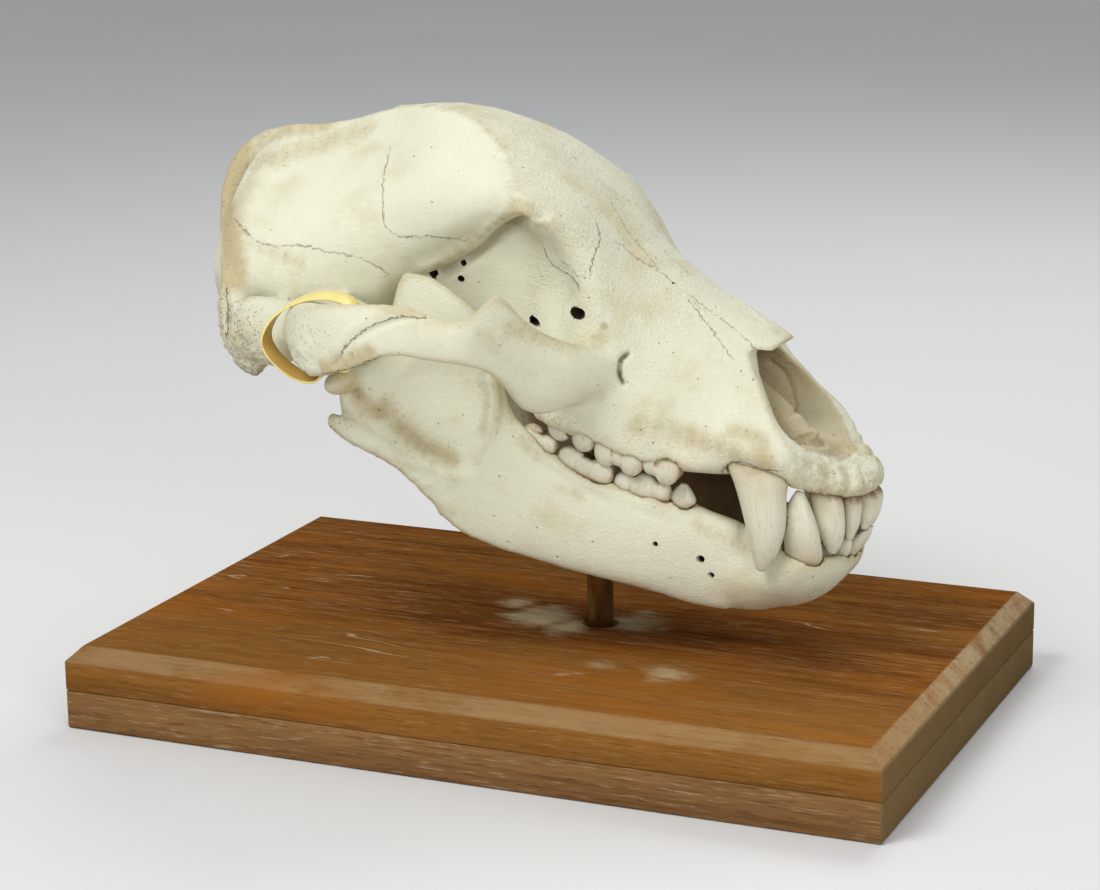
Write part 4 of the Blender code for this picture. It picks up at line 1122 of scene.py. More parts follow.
forms = [body_form("braincase_and_face", CRANIUM_SECTIONS, CRANIUM_ENDS)]
for side in (1, -1):
    forms.append(leaning_bar("arch", ARCH_STATIONS, side, squareness=ARCH_SQUARENESS))
    forms.append(upright_bar("pterygoid", PTERYGOID_STATIONS, side))
    forms.append(upright_bar("mastoid", MASTOID_STATIONS, side))
    forms.append(crest(side))
    for centre, half_sizes in CRANIUM_KNOBS:
        forms.append(knob("knob", centre, half_sizes, side))
forms.append(upright_bar("top_keel", TOP_KEEL, 1))
cranium = skin_over(joined("cranium", forms), *LUMP_SKIN)

slant = flat_cutter("nose_opening", [*NOSE_RIM, *NOSE_FRONT, NASAL_TIP], NOSE_CUT_HALF_WIDTH)
cavity = level_form("nose_cavity", NOSE_CAVITY, NOSE_CAVITY_ENDS)
cut(cavity, [level_form("turbinate", TURBINATE, TURBINATE_ENDS)])
cutters = [slant, cavity, drill(*SPINE_HOLE), knob("choana", *CHOANA)]
for side in (1, -1):
    centre, half_sizes = HINGE_KNOB
    roomy = [half + HINGE_ROOM for half in half_sizes]
    cutters.append(knob("hinge_socket", centre, roomy, side))
cutters.extend(grown_copy(tooth) for tooth in upper_teeth)
cut(cranium, cutters, "MANIFOLD")
skin_over(cranium, *BONE_SKIN)


def near_line(points, line, normals):
    """How far each point is from a line of points, and that distance signed by the side of the line."""
    line = np.asarray(line)
    far = np.full(len(points), FAR_OFF)
    signed = np.full(len(points), FAR_OFF)
    inside = np.all((points > line.min(0) - MARK_REACH) & (points < line.max(0) + MARK_REACH), axis=1)
    some, facing = points[inside], normals[inside]
    best, sided = far[inside], signed[inside]
    for start, end in zip(line, line[1:]):
        run = end - start
        share = np.clip((some - start) @ run / max(run @ run, 1e-9), 0, 1)
        away = some - start - share[:, None] * run
        distance = np.linalg.norm(away, axis=1)
        hand = np.sign((np.cross(run, facing) * away).sum(1))
        closer = distance < best
        best[closer] = distance[closer]
        sided[closer] = (distance * np.where(hand == 0, 1, hand))[closer]
    far[inside], signed[inside] = best, sided
    return far, signed


def seen_on(piece, pixels, between=4):
    """Where the camera's lines of sight through these pixels of the photograph first meet a piece."""
    to_skull = SKULL_FRAME.inverted()
    origin = to_skull @ CAMERA_PLACE
    reach = CAMERA_LENS / CAMERA_SENSOR * PHOTO_WIDTH
    path = smooth_path(pixels, between) if len(pixels) > 1 else np.array(pixels, float)
    found = []
    for across, down in path:
        right_part = camera_right * (across - PHOTO_WIDTH / 2)
        up_part = camera_up * (PHOTO_HEIGHT / 2 - down)
        sight = to_skull.to_3x3() @ (right_part + up_part - to_camera * reach)
        hit, place, _, _ = piece.ray_cast(origin, sight.normalized())
        if hit:
            found.append((place.x, abs(place.y), place.z))
    return np.array(found)


def fold_over(points):
    """Points of the right half laid over the left half."""
    return np.abs(points * (0, 1, 0)) + points * (1, 0, 1)


def bell(distance, reach):
    """Falls from 1 to nearly 0 over a reach."""
    return np.exp(-((distance / reach) ** 2) * 2.5)


def press_line(piece, pixels, reach, depth):
    """Presses a groove along a line, or raises a ridge where the depth is negative."""
    line = seen_on(piece, pixels)
    if len(line) < 2:
        return
    points, facing = points_of(piece), directions_of(piece)
    far, _ = near_line(fold_over(points), line, facing)
    move_points(piece, points - facing * (bell(far, reach) * depth)[:, None])


def mouths_on(piece, holes):
    """Where holes open on a piece, with their ways in, radii and depths."""
    found = [(seen_on(piece, [pixel]), *rest) for pixel, *rest in holes]
    return [(tuple(spots[0]), *rest) for spots, *rest in found if len(spots)]


def drill_holes(piece, mouths):
    """Drills each hole on both sides."""
    for mouth in mouths:
        for side in (1, -1):
            cut(piece, [drill(*mouth, side)], "MANIFOLD")


def roughen(piece, name, size, strength, weights=None):
    """Makes a surface uneven with bumps of about this size, where the weights say."""
    clouds = bpy.data.textures.new(name, "CLOUDS")
    clouds.noise_scale = size
    clouds.noise_depth = 2
    uneven = piece.modifiers.new(name, "DISPLACE")
    uneven.texture = clouds
    uneven.texture_coords = "LOCAL"
    uneven.strength = strength
    uneven.mid_level = 0.5
    if weights is not None:
        area = piece.vertex_groups.new(name=name)
        for index in np.flatnonzero(weights > 0.02):
            area.add([int(index)], float(weights[index]), "REPLACE")
        uneven.vertex_group = name
    apply_modifiers(piece)


FAR_OFF, MARK_REACH = 60.0, 9.0

# Lines and spots on the cranium as pixels of the photograph
CRANIUM_SEAMS = (
    ((608, 195), (620, 218), (632, 237), (645, 252), (660, 270),
     (676, 285), (700, 303), (720, 318), (745, 338), (753, 347)),
    ((618, 243), (640, 260), (663, 274)),
    ((689, 301), (710, 327), (732, 357)),
    ((390, 150), (384, 175), (383, 205), (385, 225), (400, 237), (430, 236), (460, 240)),
    ((235, 220), (255, 240), (275, 247), (300, 245), (330, 252), (360, 258), (385, 272)),
    ((555, 250), (562, 262), (572, 268), (583, 288)),
)
# Seams that stand open as dark lines
OPEN_SEAMS = (
    ((597, 225), (600, 237), (597, 250), (592, 262), (590, 273)),
    ((722, 474), (726, 466), (736, 462), (746, 463), (760, 469), (776, 471)),
    ((342, 355), (345, 348), (352, 340), (370, 327), (399, 317), (420, 318), (445, 318)),
    ((324, 374), (340, 371), (352, 368), (362, 364), (378, 357)),
    ((545, 250), (550, 262), (562, 271), (570, 275), (578, 287)),
    ((227, 290), (228, 305), (228, 320), (227, 337)),
)
MIDDLE_SEAM = ((-14, 0, 122), (3, 0, 112.5), (27, 0, 96), (50, 0, 82.5), (78, 0, 71), (106, 0, 60.5))
# Tan stains, some of them painted shade along the fold behind the eye socket and under the rear root of the
# cheek-bone arch: pixels along them, reach in millimetres, strength
CRANIUM_STAINS_AND_SHADE = (
    (((240, 150), (230, 175), (226, 205), (230, 240), (232, 275)), 16, 1.25),
    (((262, 140), (290, 130), (325, 124), (365, 112)), 13, 0.85),
    (((250, 162), (285, 154), (325, 143), (365, 128)), 18, 0.75),
    (((232, 232), (262, 248), (300, 262)), 10, 0.55),
    (((480, 122), (505, 150), (513, 180), (516, 205)), 9, 0.5),
    # Painted shade along the fold behind the eye socket
    (((523, 214), (500, 224), (470, 244), (440, 266)), 8, 0.75),
    (((510, 330), (545, 338), (580, 345), (600, 340)), 11, 0.75),
    (((470, 322), (500, 350), (530, 372)), 10, 0.4),
    (((604, 326),), 3.5, 1.3),
    (((560, 385), (600, 395)), 10, 0.4),
    (((630, 300), (640, 340)), 12, 0.35),
    (((640, 425), (690, 436), (735, 452)), 13, 0.8),
    (((735, 432), (760, 442), (765, 466)), 10, 0.85),
    (((360, 112), (400, 104), (440, 108)), 9, 0.55),
    # Painted shade under the rear root of the cheek-bone arch
    (((326, 366), (345, 362), (368, 352)), 9, 1.0),
    (((238, 340), (252, 360)), 14, 0.6),
    (((600, 180), (650, 240), (700, 290)), 10, 0.35),
)
# Holes: pixel of the mouth, direction into the bone, radius and depth in millimetres
CRANIUM_HOLES = (
    ((579, 314), (-0.5, -0.85, -0.15), 2.7, 9),
    ((535, 322), (-0.5, -0.85, 0.1), 2.1, 8),
    ((461, 279), (-0.3, -1.0, 0.1), 1.8, 7),
    ((463, 265), (-0.3, -1.0, 0.1), 1.0, 5),
    ((433, 275), (-0.4, -1.0, 0.0), 1.9, 8),
    ((673, 283), (0.2, -1.0, -0.3), 0.5, 3),
)
# Grooves and ridges: pixels along them, reach and depth in millimetres, less than 0 for a ridge
CRANIUM_PRESSED = (
    (((543, 214), (521, 221), (497, 236), (477, 254), (446, 272), (430, 279)), 4.6, 3.4),
    (((528, 204), (500, 218), (476, 238), (450, 256), (424, 268)), 5.5, -1.4),
    (((400, 108), (440, 120), (480, 136), (505, 165), (512, 195), (527, 212)), 4.5, -0.9),
    (((470, 150), (488, 172), (492, 198), (478, 222)), 11.0, 1.0),
    (((334, 366), (342, 355), (350, 345), (362, 335), (390, 323), (415, 318), (440, 318)), 1.9, 1.1),
    (((334, 350), (346, 334), (360, 325), (390, 313), (415, 309)), 3.5, -0.8),
    (((655, 415), (650, 440)), 5.0, -0.7),
    (((612, 405), (608, 432)), 5.0, -0.7),
    (((700, 410), (704, 440)), 5.0, -0.5),
    (((227, 290), (228, 305), (228, 320), (227, 337)), 2.2, 2.6),
    (((792, 438), (803, 433), (815, 435), (824, 443), (828, 450)), 2.0, -1.8),
    (((770, 362), (784, 374), (792, 392), (795, 412)), 2.2, 1.6),
    (((838, 466), (843, 488)), 3.0, -1.4),
    (((855, 466), (861, 486)), 2.6, -1.2),
    (((848, 470), (852, 488)), 1.8, 1.2),
    (((800, 474), (806, 490)), 3.0, 1.2),
    (((818, 470), (824, 488)), 3.4, -1.2),
    (((740, 415), (752, 452)), 7.0, -0.7),
    (((585, 275), (566, 300), (556, 318)), 5.0, 0.9),
    (((690, 250), (740, 300), (775, 330)), 3.0, -0.5),
)
FACE_OPENING_RIM = ((628, 354.5), (623, 358.5), (620.5, 365), (620, 372), (621, 379), (623, 383))
FACE_OPENING_PRESSED = (1.7, 3.4)
# The edge between the grainy forehead and the smooth temple: places along the skull, half-widths there
BROW_EDGE = ((-105, -84, -68, -55, -42, -31, -22, -13), (2, 8, 14, 20, 27, 35, 44, 52))
# How far into the bone the nose's tan tint and painted shade reach
NOSE_WALL = 1.8


def near_teeth(points, teeth):
    """How far each point is from the nearest tooth."""
    there = np.concatenate([points_of(tooth) for tooth in teeth])
    tree = KDTree(len(there))
    for index, point in enumerate(there):
        tree.insert(point, index)
    tree.balance()
    low, high = there.min(0) - 2, there.max(0) + 2
    far = np.full(len(points), FAR_OFF)
    for index in np.flatnonzero(np.all((points > low) & (points < high), axis=1)):
        far[index] = tree.find(points[index])[2]
    return far


def note_marks(piece, seams, open_seams, stains_and_shade, coarse, mouths, teeth, slits=()):
    """Keeps on each point of a bone, for its material, its seams, stains, grain and hollows, and the painted
    shade of its stains, tooth sockets, holes and slits.
    """
    points, facing = points_of(piece), directions_of(piece)
    halved = fold_over(points)
    best = np.full(len(points), FAR_OFF)
    strength = np.ones(len(points))
    folded = facing * np.sign(points[:, 1:2] + 1e-6) * (0, 1, 0) + facing * (1, 0, 1)
    for number, seam in enumerate([*seams, *open_seams]):
        far, signed = near_line(halved, seam, folded)
        closer = far < np.abs(best)
        best[closer] = signed[closer]
        strength[closer] = 1 + (number >= len(seams))
    note(piece, "seam_side", np.clip(best, -4, 4))
    note(piece, "seam_near", rise(np.abs(best), 3.2, 2.4) * strength)
    # Painted shade in the thin gap round each tooth in its socket
    note(piece, "gum", rise(near_teeth(points, teeth), 1.9, 0.8))
    stain_and_shade = np.zeros(len(points))
    for pixels, reach, much in stains_and_shade:
        for spot in seen_on(piece, pixels, 3):
            stain_and_shade = np.maximum(stain_and_shade, much * bell(np.linalg.norm(halved - spot, axis=1), reach))
    note(piece, "stain_and_shade", stain_and_shade)
    note(piece, "coarse", coarse)
    note(piece, "hollow", averaged(piece, hollows_of(piece, 28), 2)[:, 0])
    # Painted shade down inside each hole, and along the slits
    depth = np.zeros(len(points))
    for mouth, direction, radius, _ in mouths:
        for side in (1, -1):
            way = np.array(direction) * (1, side, 1)
            way = way / np.linalg.norm(way)
            away = points - np.array(mouth) * (1, side, 1)
            along = away @ way
            off = np.linalg.norm(away - along[:, None] * way, axis=1)
            depth = np.maximum(depth, (off < radius * 1.03) * rise(along, 1.5, 3.5) * (along < 12))
    for slit in slits:
        far, _ = near_line(halved, slit, facing)
        depth = np.maximum(depth, bell(far, 2.4) * 0.24)
    note(piece, "hole", depth)


mouths = mouths_on(cranium, CRANIUM_HOLES)
for pixels, reach, depth in CRANIUM_PRESSED:
    press_line(cranium, pixels, reach, depth)
press_line(cranium, FACE_OPENING_RIM, *FACE_OPENING_PRESSED)
roughen(cranium, "hand_wide", 22.0, 0.9)
length, width, height = points_of(cranium).T
arch_root = rise(height, 40, 28) * rise(np.abs(width), 72, 80) * rise(length, -72, -80)
shaggy = np.maximum(rise(height, 28, 18) * rise(length, -112, -122), arch_root * 0.6)
roughen(cranium, "knobbly_rear", 7.0, 4.0, shaggy)
roughen(cranium, "knobbly_fine", 2.4, 2.0, shaggy)
roughen(cranium, "front_fine", 2.8, 1.9, rise(length, 122, 136) * rise(height, 34, 24))
seam_lines = [seen_on(cranium, seam) for seam in CRANIUM_SEAMS] + [smooth_path(MIDDLE_SEAM, 4)]
open_lines = [seen_on(cranium, seam) for seam in OPEN_SEAMS]
# The face opening's rim, painted dark along its slit as shade
rim = seen_on(cranium, FACE_OPENING_RIM)
drill_holes(cranium, mouths)

length, width, height = points_of(cranium).T
across = np.abs(width)
forehead = rise(np.interp(length, *BROW_EDGE) - across, -1.5, 1.5) * (height > 92) * (length > -112)
coarse = (
    forehead * 0.8,
    rise(length, -16, -8) * rise(height, 40, 70) * 0.55,
    rise(length, 118, 130) * 0.4,
    rise(length, -150, -165) * 0.56,
    rise(height, 30, 16) * rise(length, -66, -81) * 0.4,
    rise(length, 20, 40) * 0.26,
)
mastoid = rise(height, 36, 24) * rise(length, -118, -128) * rise(across, 34, 42) * 0.85
arch_root = rise(height, 52, 44) * rise(across, 82, 88) * rise(length, -62, -76) * 0.30
front = rise(length, 128, 142) * rise(height, 22, 16) * 0.3
bulge = rise(np.abs(length - 23), 19.6, 5.6) * rise(np.abs(height - 10), 7.8, 1.8)
bulge *= rise(across, 44, 47) * 0.4
note(cranium, "pitted", np.maximum.reduce((mastoid, arch_root, front, bulge)))
# Painted shade inside the nose, darker towards its rear, with the nose's tan tint, and on the palate between
# the teeth
half_width, roof, low = (np.interp(length, *np.array(NOSE_CAVITY).T[[0, k]]) for k in (1, 2, 3))
off_axis = (height - (roof + low) / 2) / ((roof - low) / 2 + NOSE_WALL)
share = (across / (half_width + NOSE_WALL)) ** 2 + off_axis**2
nose = rise(share, 1.05, 0.93) * (length > 60) * (length < 146)
nose *= 0.33 + 0.65 * rise(length, 118, 82)
palate = rise(across, 31, 26) * rise(height, 17, 13) * rise(length, -10, 2) * rise(length, 146, 138)
note(cranium, "inner", np.maximum(nose, palate))
coarse = np.maximum.reduce(coarse)
note_marks(cranium, seam_lines, open_lines, CRANIUM_STAINS_AND_SHADE, coarse, mouths, upper_teeth, [rim])


# What a bone keeps on its points, each the input of the same name in its material
BONE_MARKS = ("seam_side", "seam_near", "stain_and_shade", "coarse", "hollow", "hole", "inner", "gum", "pitted")
BONE_RELIEF = 0.0006
BONE_ANGLE = math.radians(50)
# The cutter for the post's hole starts here, below the palate, in metres above the table
SOCKET_BOTTOM = 0.10


def dry_bone():
    """Dry bone: cream with paler and tan drifts, pores and dark seams, with painted shade in hollows, holes,
    the nose and mouth.
    """
    tree, given, out = group(
        "dry_bone",
        [("place", "Vector"), *((mark, "Float") for mark in BONE_MARKS)],
        [("Color", "Color"), ("Height", "Float"), ("Roughness", "Float")],
    )
    place, coarse, stain_and_shade, hollow = (given[name] for name in ("place", "coarse", "stain_and_shade", "hollow"))
    drift = speckle(tree, place, 0.035, 4.0, 0.55)
    patch = speckle(tree, place, 0.11, 4.0, 0.6)
    mottle = speckle(tree, place, 0.55, 3.0, 0.6)
    grains = speckle(tree, place, 0.85, 3.0, 0.65)
    fine = speckle(tree, place, 2.6, 2.0, 0.6)

    # Cream bone, grainy where it is coarse, tan on its raised edges and where it is stained or given painted
    # shade
    pale = step_up(tree, sum_of(tree, "MULTIPLY_ADD", coarse, -0.07, drift), 0.24, 0.50)
    colour = colour_mix(tree, pale, BONE_CREAM, BONE_PALE)
    grainy = times(tree, coarse, step_up(tree, grains, 0.42, 0.66))
    colour = laid_over(tree, colour, BONE_TAN, grainy, 0.32)
    raised = sum_of(tree, "MULTIPLY_ADD", hollow, -1.0, times(tree, mottle, 0.6))
    colour = laid_over(tree, colour, BONE_TAN, step_up(tree, raised, 0.75, 1.9), 0.5)
    ragged = sum_of(tree, "MULTIPLY_ADD", patch, 0.65, times(tree, mottle, 0.25))
    blotch = step_up(tree, sum_of(tree, "MULTIPLY_ADD", stain_and_shade, 0.8, ragged), 0.62, 1.35)
    colour = laid_over(tree, colour, BONE_TAN, blotch, 0.85)

    # Brown specks, and painted shade in the hollows
    specked = sum_of(tree, "MULTIPLY_ADD", stain_and_shade, 0.4, 0.1)
    colour = laid_over(tree, colour, BONE_BROWN, times(tree, step_up(tree, mottle, 0.58, 0.74), specked))
    # Painted shade: darker the deeper a point lies below the surface round it
    hollow_shade = step_up(tree, sum_of(tree, "MULTIPLY_ADD", mottle, 0.35, hollow), 0.45, 2.2)
    colour = laid_over(tree, colour, BONE_BROWN, hollow_shade, 0.6)

    # Seams that wander and break off, except where they stand open
    wander = sum_of(tree, "MULTIPLY_ADD", speckle(tree, place, 0.42, 3.0, 0.7), 4.6, -2.3)
    off = sum_of(tree, "ABSOLUTE", sum_of(tree, "ADD", given["seam_side"], wander))
    near = sum_of(tree, "MINIMUM", given["seam_near"], 1.0)
    broken = sum_of(tree, "MULTIPLY_ADD", mottle, 0.5, times(tree, patch, 0.6))
    stands_open = sum_of(tree, "SUBTRACT", given["seam_near"], 1.0)
    kept = sum_of(tree, "MAXIMUM", step_up(tree, broken, 0.44, 0.62), stands_open)
    seam = times(tree, times(tree, step_up(tree, off, 0.42, 0.10), near), kept)
    dark = sum_of(tree, "GREATER_THAN", given["seam_near"], 1.0)
    dark = sum_of(tree, "MULTIPLY_ADD", dark, 0.28, 0.50)
    colour = laid_over(tree, colour, BONE_BROWN, times(tree, seam, dark))

    # Scattered pores, each of its own size
    cells = node(tree, "TexVoronoi", {"Vector": place, "Scale": 0.34, "Randomness": 1.0}).outputs
    chances = node(tree, "SeparateColor", {0: cells["Color"]}).outputs
    size = sum_of(tree, "MULTIPLY_ADD", chances[1], 0.15, 0.07)
    pore = step_up(tree, sum_of(tree, "DIVIDE", cells["Distance"], size), 1.0, 0.5)
    kept = step_up(tree, sum_of(tree, "MULTIPLY_ADD", coarse, 0.22, chances[0]), 0.93, 0.97)
    pore = times(tree, pore, kept)
    colour = laid_over(tree, colour, BONE_BROWN, pore, 0.65)

    # The nose's tan tint, pits in the rough bone, then painted shade inside the nose and mouth, at the rims
    # of the tooth sockets and in the holes
    tinted = sum_of(tree, "MINIMUM", times(tree, given["inner"], 1.7), 0.75)
    colour = laid_over(tree, colour, BONE_TAN, tinted)
    warp = node(tree, "TexNoise", {"Vector": place, "Scale": 0.5}).outputs["Color"]
    warped = node(tree, "VectorMath", {0: place, 1: warp}).outputs[0]
    pits = node(tree, "TexVoronoi", {"Vector": warped, "Scale": 0.50, "Detail": 1.0}).outputs["Distance"]
    pitted = times(tree, step_up(tree, pits, 0.22, 0.60), given["pitted"])
    colour = laid_over(tree, colour, BONE_BROWN, pitted, 0.24)
    # Painted shade inside the nose and mouth
    deep = sum_of(tree, "POWER", given["inner"], 1.6)
    deep = times(tree, deep, sum_of(tree, "MULTIPLY_ADD", patch, 0.5, 0.62))
    colour = laid_over(tree, colour, BONE_INSIDE_SHADE, deep)
    # Painted shade at the rims of the tooth sockets
    gum = step_up(tree, sum_of(tree, "MULTIPLY_ADD", mottle, 0.9, given["gum"]), 0.75, 1.35)
    colour = laid_over(tree, colour, BONE_BROWN, gum, 0.75)
    # Painted shade in the holes
    colour = laid_over(tree, colour, BONE_HOLE_SHADE, step_up(tree, given["hole"], 0.02, 0.35))

    grain = times(tree, grains, sum_of(tree, "MULTIPLY_ADD", coarse, 2.0, 0.45))
    height = sum_of(tree, "MULTIPLY_ADD", fine, 0.22, sum_of(tree, "MULTIPLY_ADD", mottle, 0.4, grain))
    height = sum_of(tree, "MULTIPLY_ADD", pitted, -2.6, height)
    sunk = sum_of(tree, "MULTIPLY_ADD", seam, 0.9, times(tree, pore, 0.9))
    tree.links.new(colour, out["Color"])
    tree.links.new(sum_of(tree, "SUBTRACT", height, sunk), out["Height"])
    tree.links.new(sum_of(tree, "MULTIPLY_ADD", coarse, 0.2, 0.48), out["Roughness"])
    return tree


DRY_BONE = dry_bone()


def bone_material(name, shift):
    """Dry bone with its own drift of pattern."""
    made, tree, shader = material(name, Specular_IOR_Level=0.35)
    inputs = {mark: own_number(tree, mark) for mark in BONE_MARKS}
    bone = placed_group(tree, DRY_BONE, {"place": object_place(tree, MILLIMETRES, shift), **inputs})
    tree.links.new(bone["Color"], shader.inputs["Base Color"])
    tree.links.new(bone["Roughness"], shader.inputs["Roughness"])
    bump(tree, shader, bone["Height"], BONE_RELIEF)
    return made


def dress(piece, finish):
    """Gives a piece this one material."""
    piece.data.materials.clear()
    piece.data.materials.append(finish)


def set_in_place(piece):
    """Takes a piece from the skull's millimetres into the model's frame."""
    piece.matrix_world = SKULL_FRAME
    alone(piece)
    bpy.ops.object.transform_apply(location=True, rotation=True, scale=True)


set_in_place(cranium)
socket_radius, socket_top = POST_RADIUS + POST_CLEARANCE, POST_TOP + POST_CLEARANCE
cut(cranium, [upright_cylinder("post_socket", socket_radius, SOCKET_BOTTOM, socket_top)], "MANIFOLD")
alone(cranium)
bpy.ops.object.shade_smooth_by_angle(angle=BONE_ANGLE)
dress(cranium, bone_material("cranium_bone", (0.0, 0.0, 0.0)))
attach(cranium, "root")
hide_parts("cranium")

# The lower jaw is one bone, its halves grown together at the chin. Its hinge knobs lie in the
# cranium's sockets, and a broad hollow behind the teeth held the jaw muscle.
# The chin's cross-sections: x, mid-line above, points (y, z) of the left half, mid-line below
CHIN_SECTIONS = (
    (157.5, -28, (6, -28), (12, -28), (14.5, -32), (11.5, -36.5), (6, -38.5), -38.5),
    (150.5, -31, (10, -30), (25, -27.5), (29, -33.5), (24, -42), (12, -48.5), -49),
    (141, -36, (12, -33), (33, -27.5), (37.5, -34), (32, -46), (16, -56), -57),
    (130, -40, (12, -35), (30.5, -26.5), (35.5, -34), (33, -48), (18, -60.5), -61),
    (118, -46, (12, -40), (24, -24), (31, -32), (32, -50), (21, -64.5), -65),
    (106, -52, (12, -46), (22, -23), (30, -31), (33, -50), (23, -66), -65),
    (96, -57, (14, -50), (22, -22), (31, -31), (34, -50), (25, -66), -64),
)
CHIN_ENDS = ((160.5, 0, -32), (91, 0, -61))

# One jaw half from the canine to the hinge: x, y and z of its top edge, y and z of its lower
# edge, thickness
JAW_STATIONS = (
    (108, 26, -22, 24, -66.5, 14),
    (92, 28, -19.5, 27, -67, 16),
    (76, 31, -15.5, 32, -64.5, 18),
    (56, 34, -13.5, 36, -63.5, 19),
    (36, 36, -11, 39, -63, 19),
    (16, 39.5, -6.5, 43, -61.5, 17),
    (2, 43, 0, 46, -60.5, 14),
    (-8, 47, 14, 48, -59, 12),
    (-16, 50, 40, 51, -57, 11),
    (-25, 52.5, 51.5, 53.5, -52.5, 11),
    (-36, 55, 58.5, 57, -43, 10),
    (-48, 57, 64, 60, -34, 9),
    (-57, 58.5, 65, 62, -29, 9),
    (-64.5, 60, 61, 63, -26.5, 9),
    (-67.5, 62, 30, 64, -25, 10),
    (-77, 65, 14, 66, -17, 11),
    (-82, 65.5, 12, 66, -7, 10),
)
JAW_ENDS = ((110, 25, -44), (-86, 66, 5))
JAW_SQUARENESS = 2.3
# The jaw's drift of pattern, so that it isn't the cranium's
JAW_SHIFT = (37.0, 11.0, 5.0)
# The hook below the hinge: x, y, top, bottom, thickness
ANGLE_STATIONS = (
    (-58, 62, -14, -28, 9),
    (-70, 64, -12, -25, 9),
    (-80, 66, -11, -21.5, 8),
    (-88, 67, -9.5, -16.5, 6),
)
# The edge that stands up round the outer side of the cheek teeth: x, y and z of its top edge, y and z
# of its lower edge, thickness
TOOTH_EDGE = (
    (0, 46.5, 3.5, 43, -24, 6),
    (8, 46.2, -1.2, 42, -28, 7),
    (18, 44.6, -8.5, 40.5, -32, 7),
    (34, 43.6, -14.8, 39, -36, 7),
    (46, 41.8, -15.6, 37, -38, 7),
    (58, 40.4, -17.2, 35.5, -38, 7),
    (70, 39.2, -16.4, 33.5, -38, 7),
    (78, 37.2, -20.6, 32, -38, 6),
    (88, 33.5, -22.6, 30, -38, 5),
    (98, 30.0, -27.0, 27, -38, 4),
)
# The hollow on the outer side that held the jaw muscle: centre, half-sizes, turn about z
MUSCLE_HOLLOW = ((-31, 71.0, 2), (40, 16, 46), math.radians(-14))
# Its grooves and ridges, stains and painted shade, and holes, as on the cranium
MANDIBLE_PRESSED = (
    (((494, 374), (497, 400), (493, 430), (478, 460)), 4.0, -1.8),
    (((341, 411), (368, 424), (402, 448), (429, 467), (456, 476)), 4.2, -1.8),
    (((352, 392), (372, 408), (400, 430), (426, 448), (454, 462)), 5.0, 1.3),
    (((367, 400), (405, 430), (450, 448), (476, 430), (480, 400)), 12.0, 1.2),
    (((484, 378), (487, 402), (482, 432)), 4.0, 1.0),
    (((520, 440), (548, 468), (600, 498)), 4.0, 0.6),
)
MANDIBLE_STAINS_AND_SHADE = (
    # These four rows are partly painted shade in the muscle hollow and beside its front edge
    (((350, 388), (362, 402), (378, 412)), 11, 0.85),
    (((384, 408), (404, 428), (430, 446), (452, 458)), 13, 0.85),
    (((408, 440), (434, 460)), 7, 0.8),
    (((488, 390), (488, 430), (470, 455)), 9, 0.4),
    (((508, 400), (514, 430), (535, 455)), 9, 0.6),
    (((560, 488), (580, 496)), 7, 0.6),
    (((700, 525), (725, 540), (745, 548)), 9, 0.65),
    (((780, 575), (815, 590)), 12, 0.3),
    (((430, 500), (500, 540), (580, 565)), 8, 0.35),
)
MANDIBLE_HOLES = (
    ((655, 544), (0.2, -1.0, 0.0), 1.3, 7),
    ((700.5, 559), (0.3, -1.0, 0.0), 1.8, 8),
    ((711, 575), (0.5, -1.0, 0.1), 1.4, 7),
)

forms = [body_form("chin", CHIN_SECTIONS, CHIN_ENDS)]
for side in (1, -1):
    forms.append(leaning_bar("jaw", JAW_STATIONS, side, ends=JAW_ENDS, squareness=JAW_SQUARENESS))
    forms.append(upright_bar("angle", ANGLE_STATIONS, side))
    forms.append(leaning_bar("tooth_edge", TOOTH_EDGE, side))
    forms.append(knob("hinge", *HINGE_KNOB, side))
mandible = skin_over(joined("mandible", forms), *LUMP_SKIN)
cutters = [grown_copy(tooth) for tooth in lower_teeth]
for side in (1, -1):
    centre, half_sizes, turn = MUSCLE_HOLLOW
    cutters.append(knob("muscle_hollow", centre, half_sizes, side, turn, fineness=64))
cut(mandible, cutters, "MANIFOLD")
skin_over(mandible, *BONE_SKIN)

mouths = mouths_on(mandible, MANDIBLE_HOLES)
for pixels, reach, depth in MANDIBLE_PRESSED:
    press_line(mandible, pixels, reach, depth)
roughen(mandible, "jaw_wide", 20.0, 0.7)
length, width, height = points_of(mandible).T
roughen(mandible, "knobbly_hook", 5.0, 2.0, rise(length, -18, -30) * rise(height, -14, -26))
drill_holes(mandible, mouths)
length, width, height = points_of(mandible).T
coarse = np.maximum(rise(length, 110, 135) * 0.35, 0.15)
note(mandible, "pitted", rise(length, -72, -80) * rise(height, -4, -10) * 0.6)
# Painted shade on the jaw's inner faces behind the teeth
middle = np.interp(length, *np.array(sorted(JAW_STATIONS)).T[[0, 1]])
inwards = rise(middle - np.abs(width), 0, 3)
inwards *= rise(-directions_of(mandible)[:, 1] * np.sign(width), -0.2, 0.3)
note(mandible, "inner", inwards * rise(length, -45, -30) * rise(height, -62, -50))
note_marks(mandible, [], [], MANDIBLE_STAINS_AND_SHADE, coarse, mouths, lower_teeth)
set_in_place(mandible)
alone(mandible)
bpy.ops.object.shade_smooth_by_angle(angle=BONE_ANGLE)
dress(mandible, bone_material("mandible_bone", JAW_SHIFT))
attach(mandible, "root")
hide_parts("mandible")

# The teeth are pushed into their sockets, loose but held by the bone round their roots. Old brown
# dirt and painted shade lie where the canines and incisors touch each other.
TOUCHING, NEARLY_TOUCHING = 0.4, 1.5
TOUCHING_GRIME_AND_SHADE = 0.85

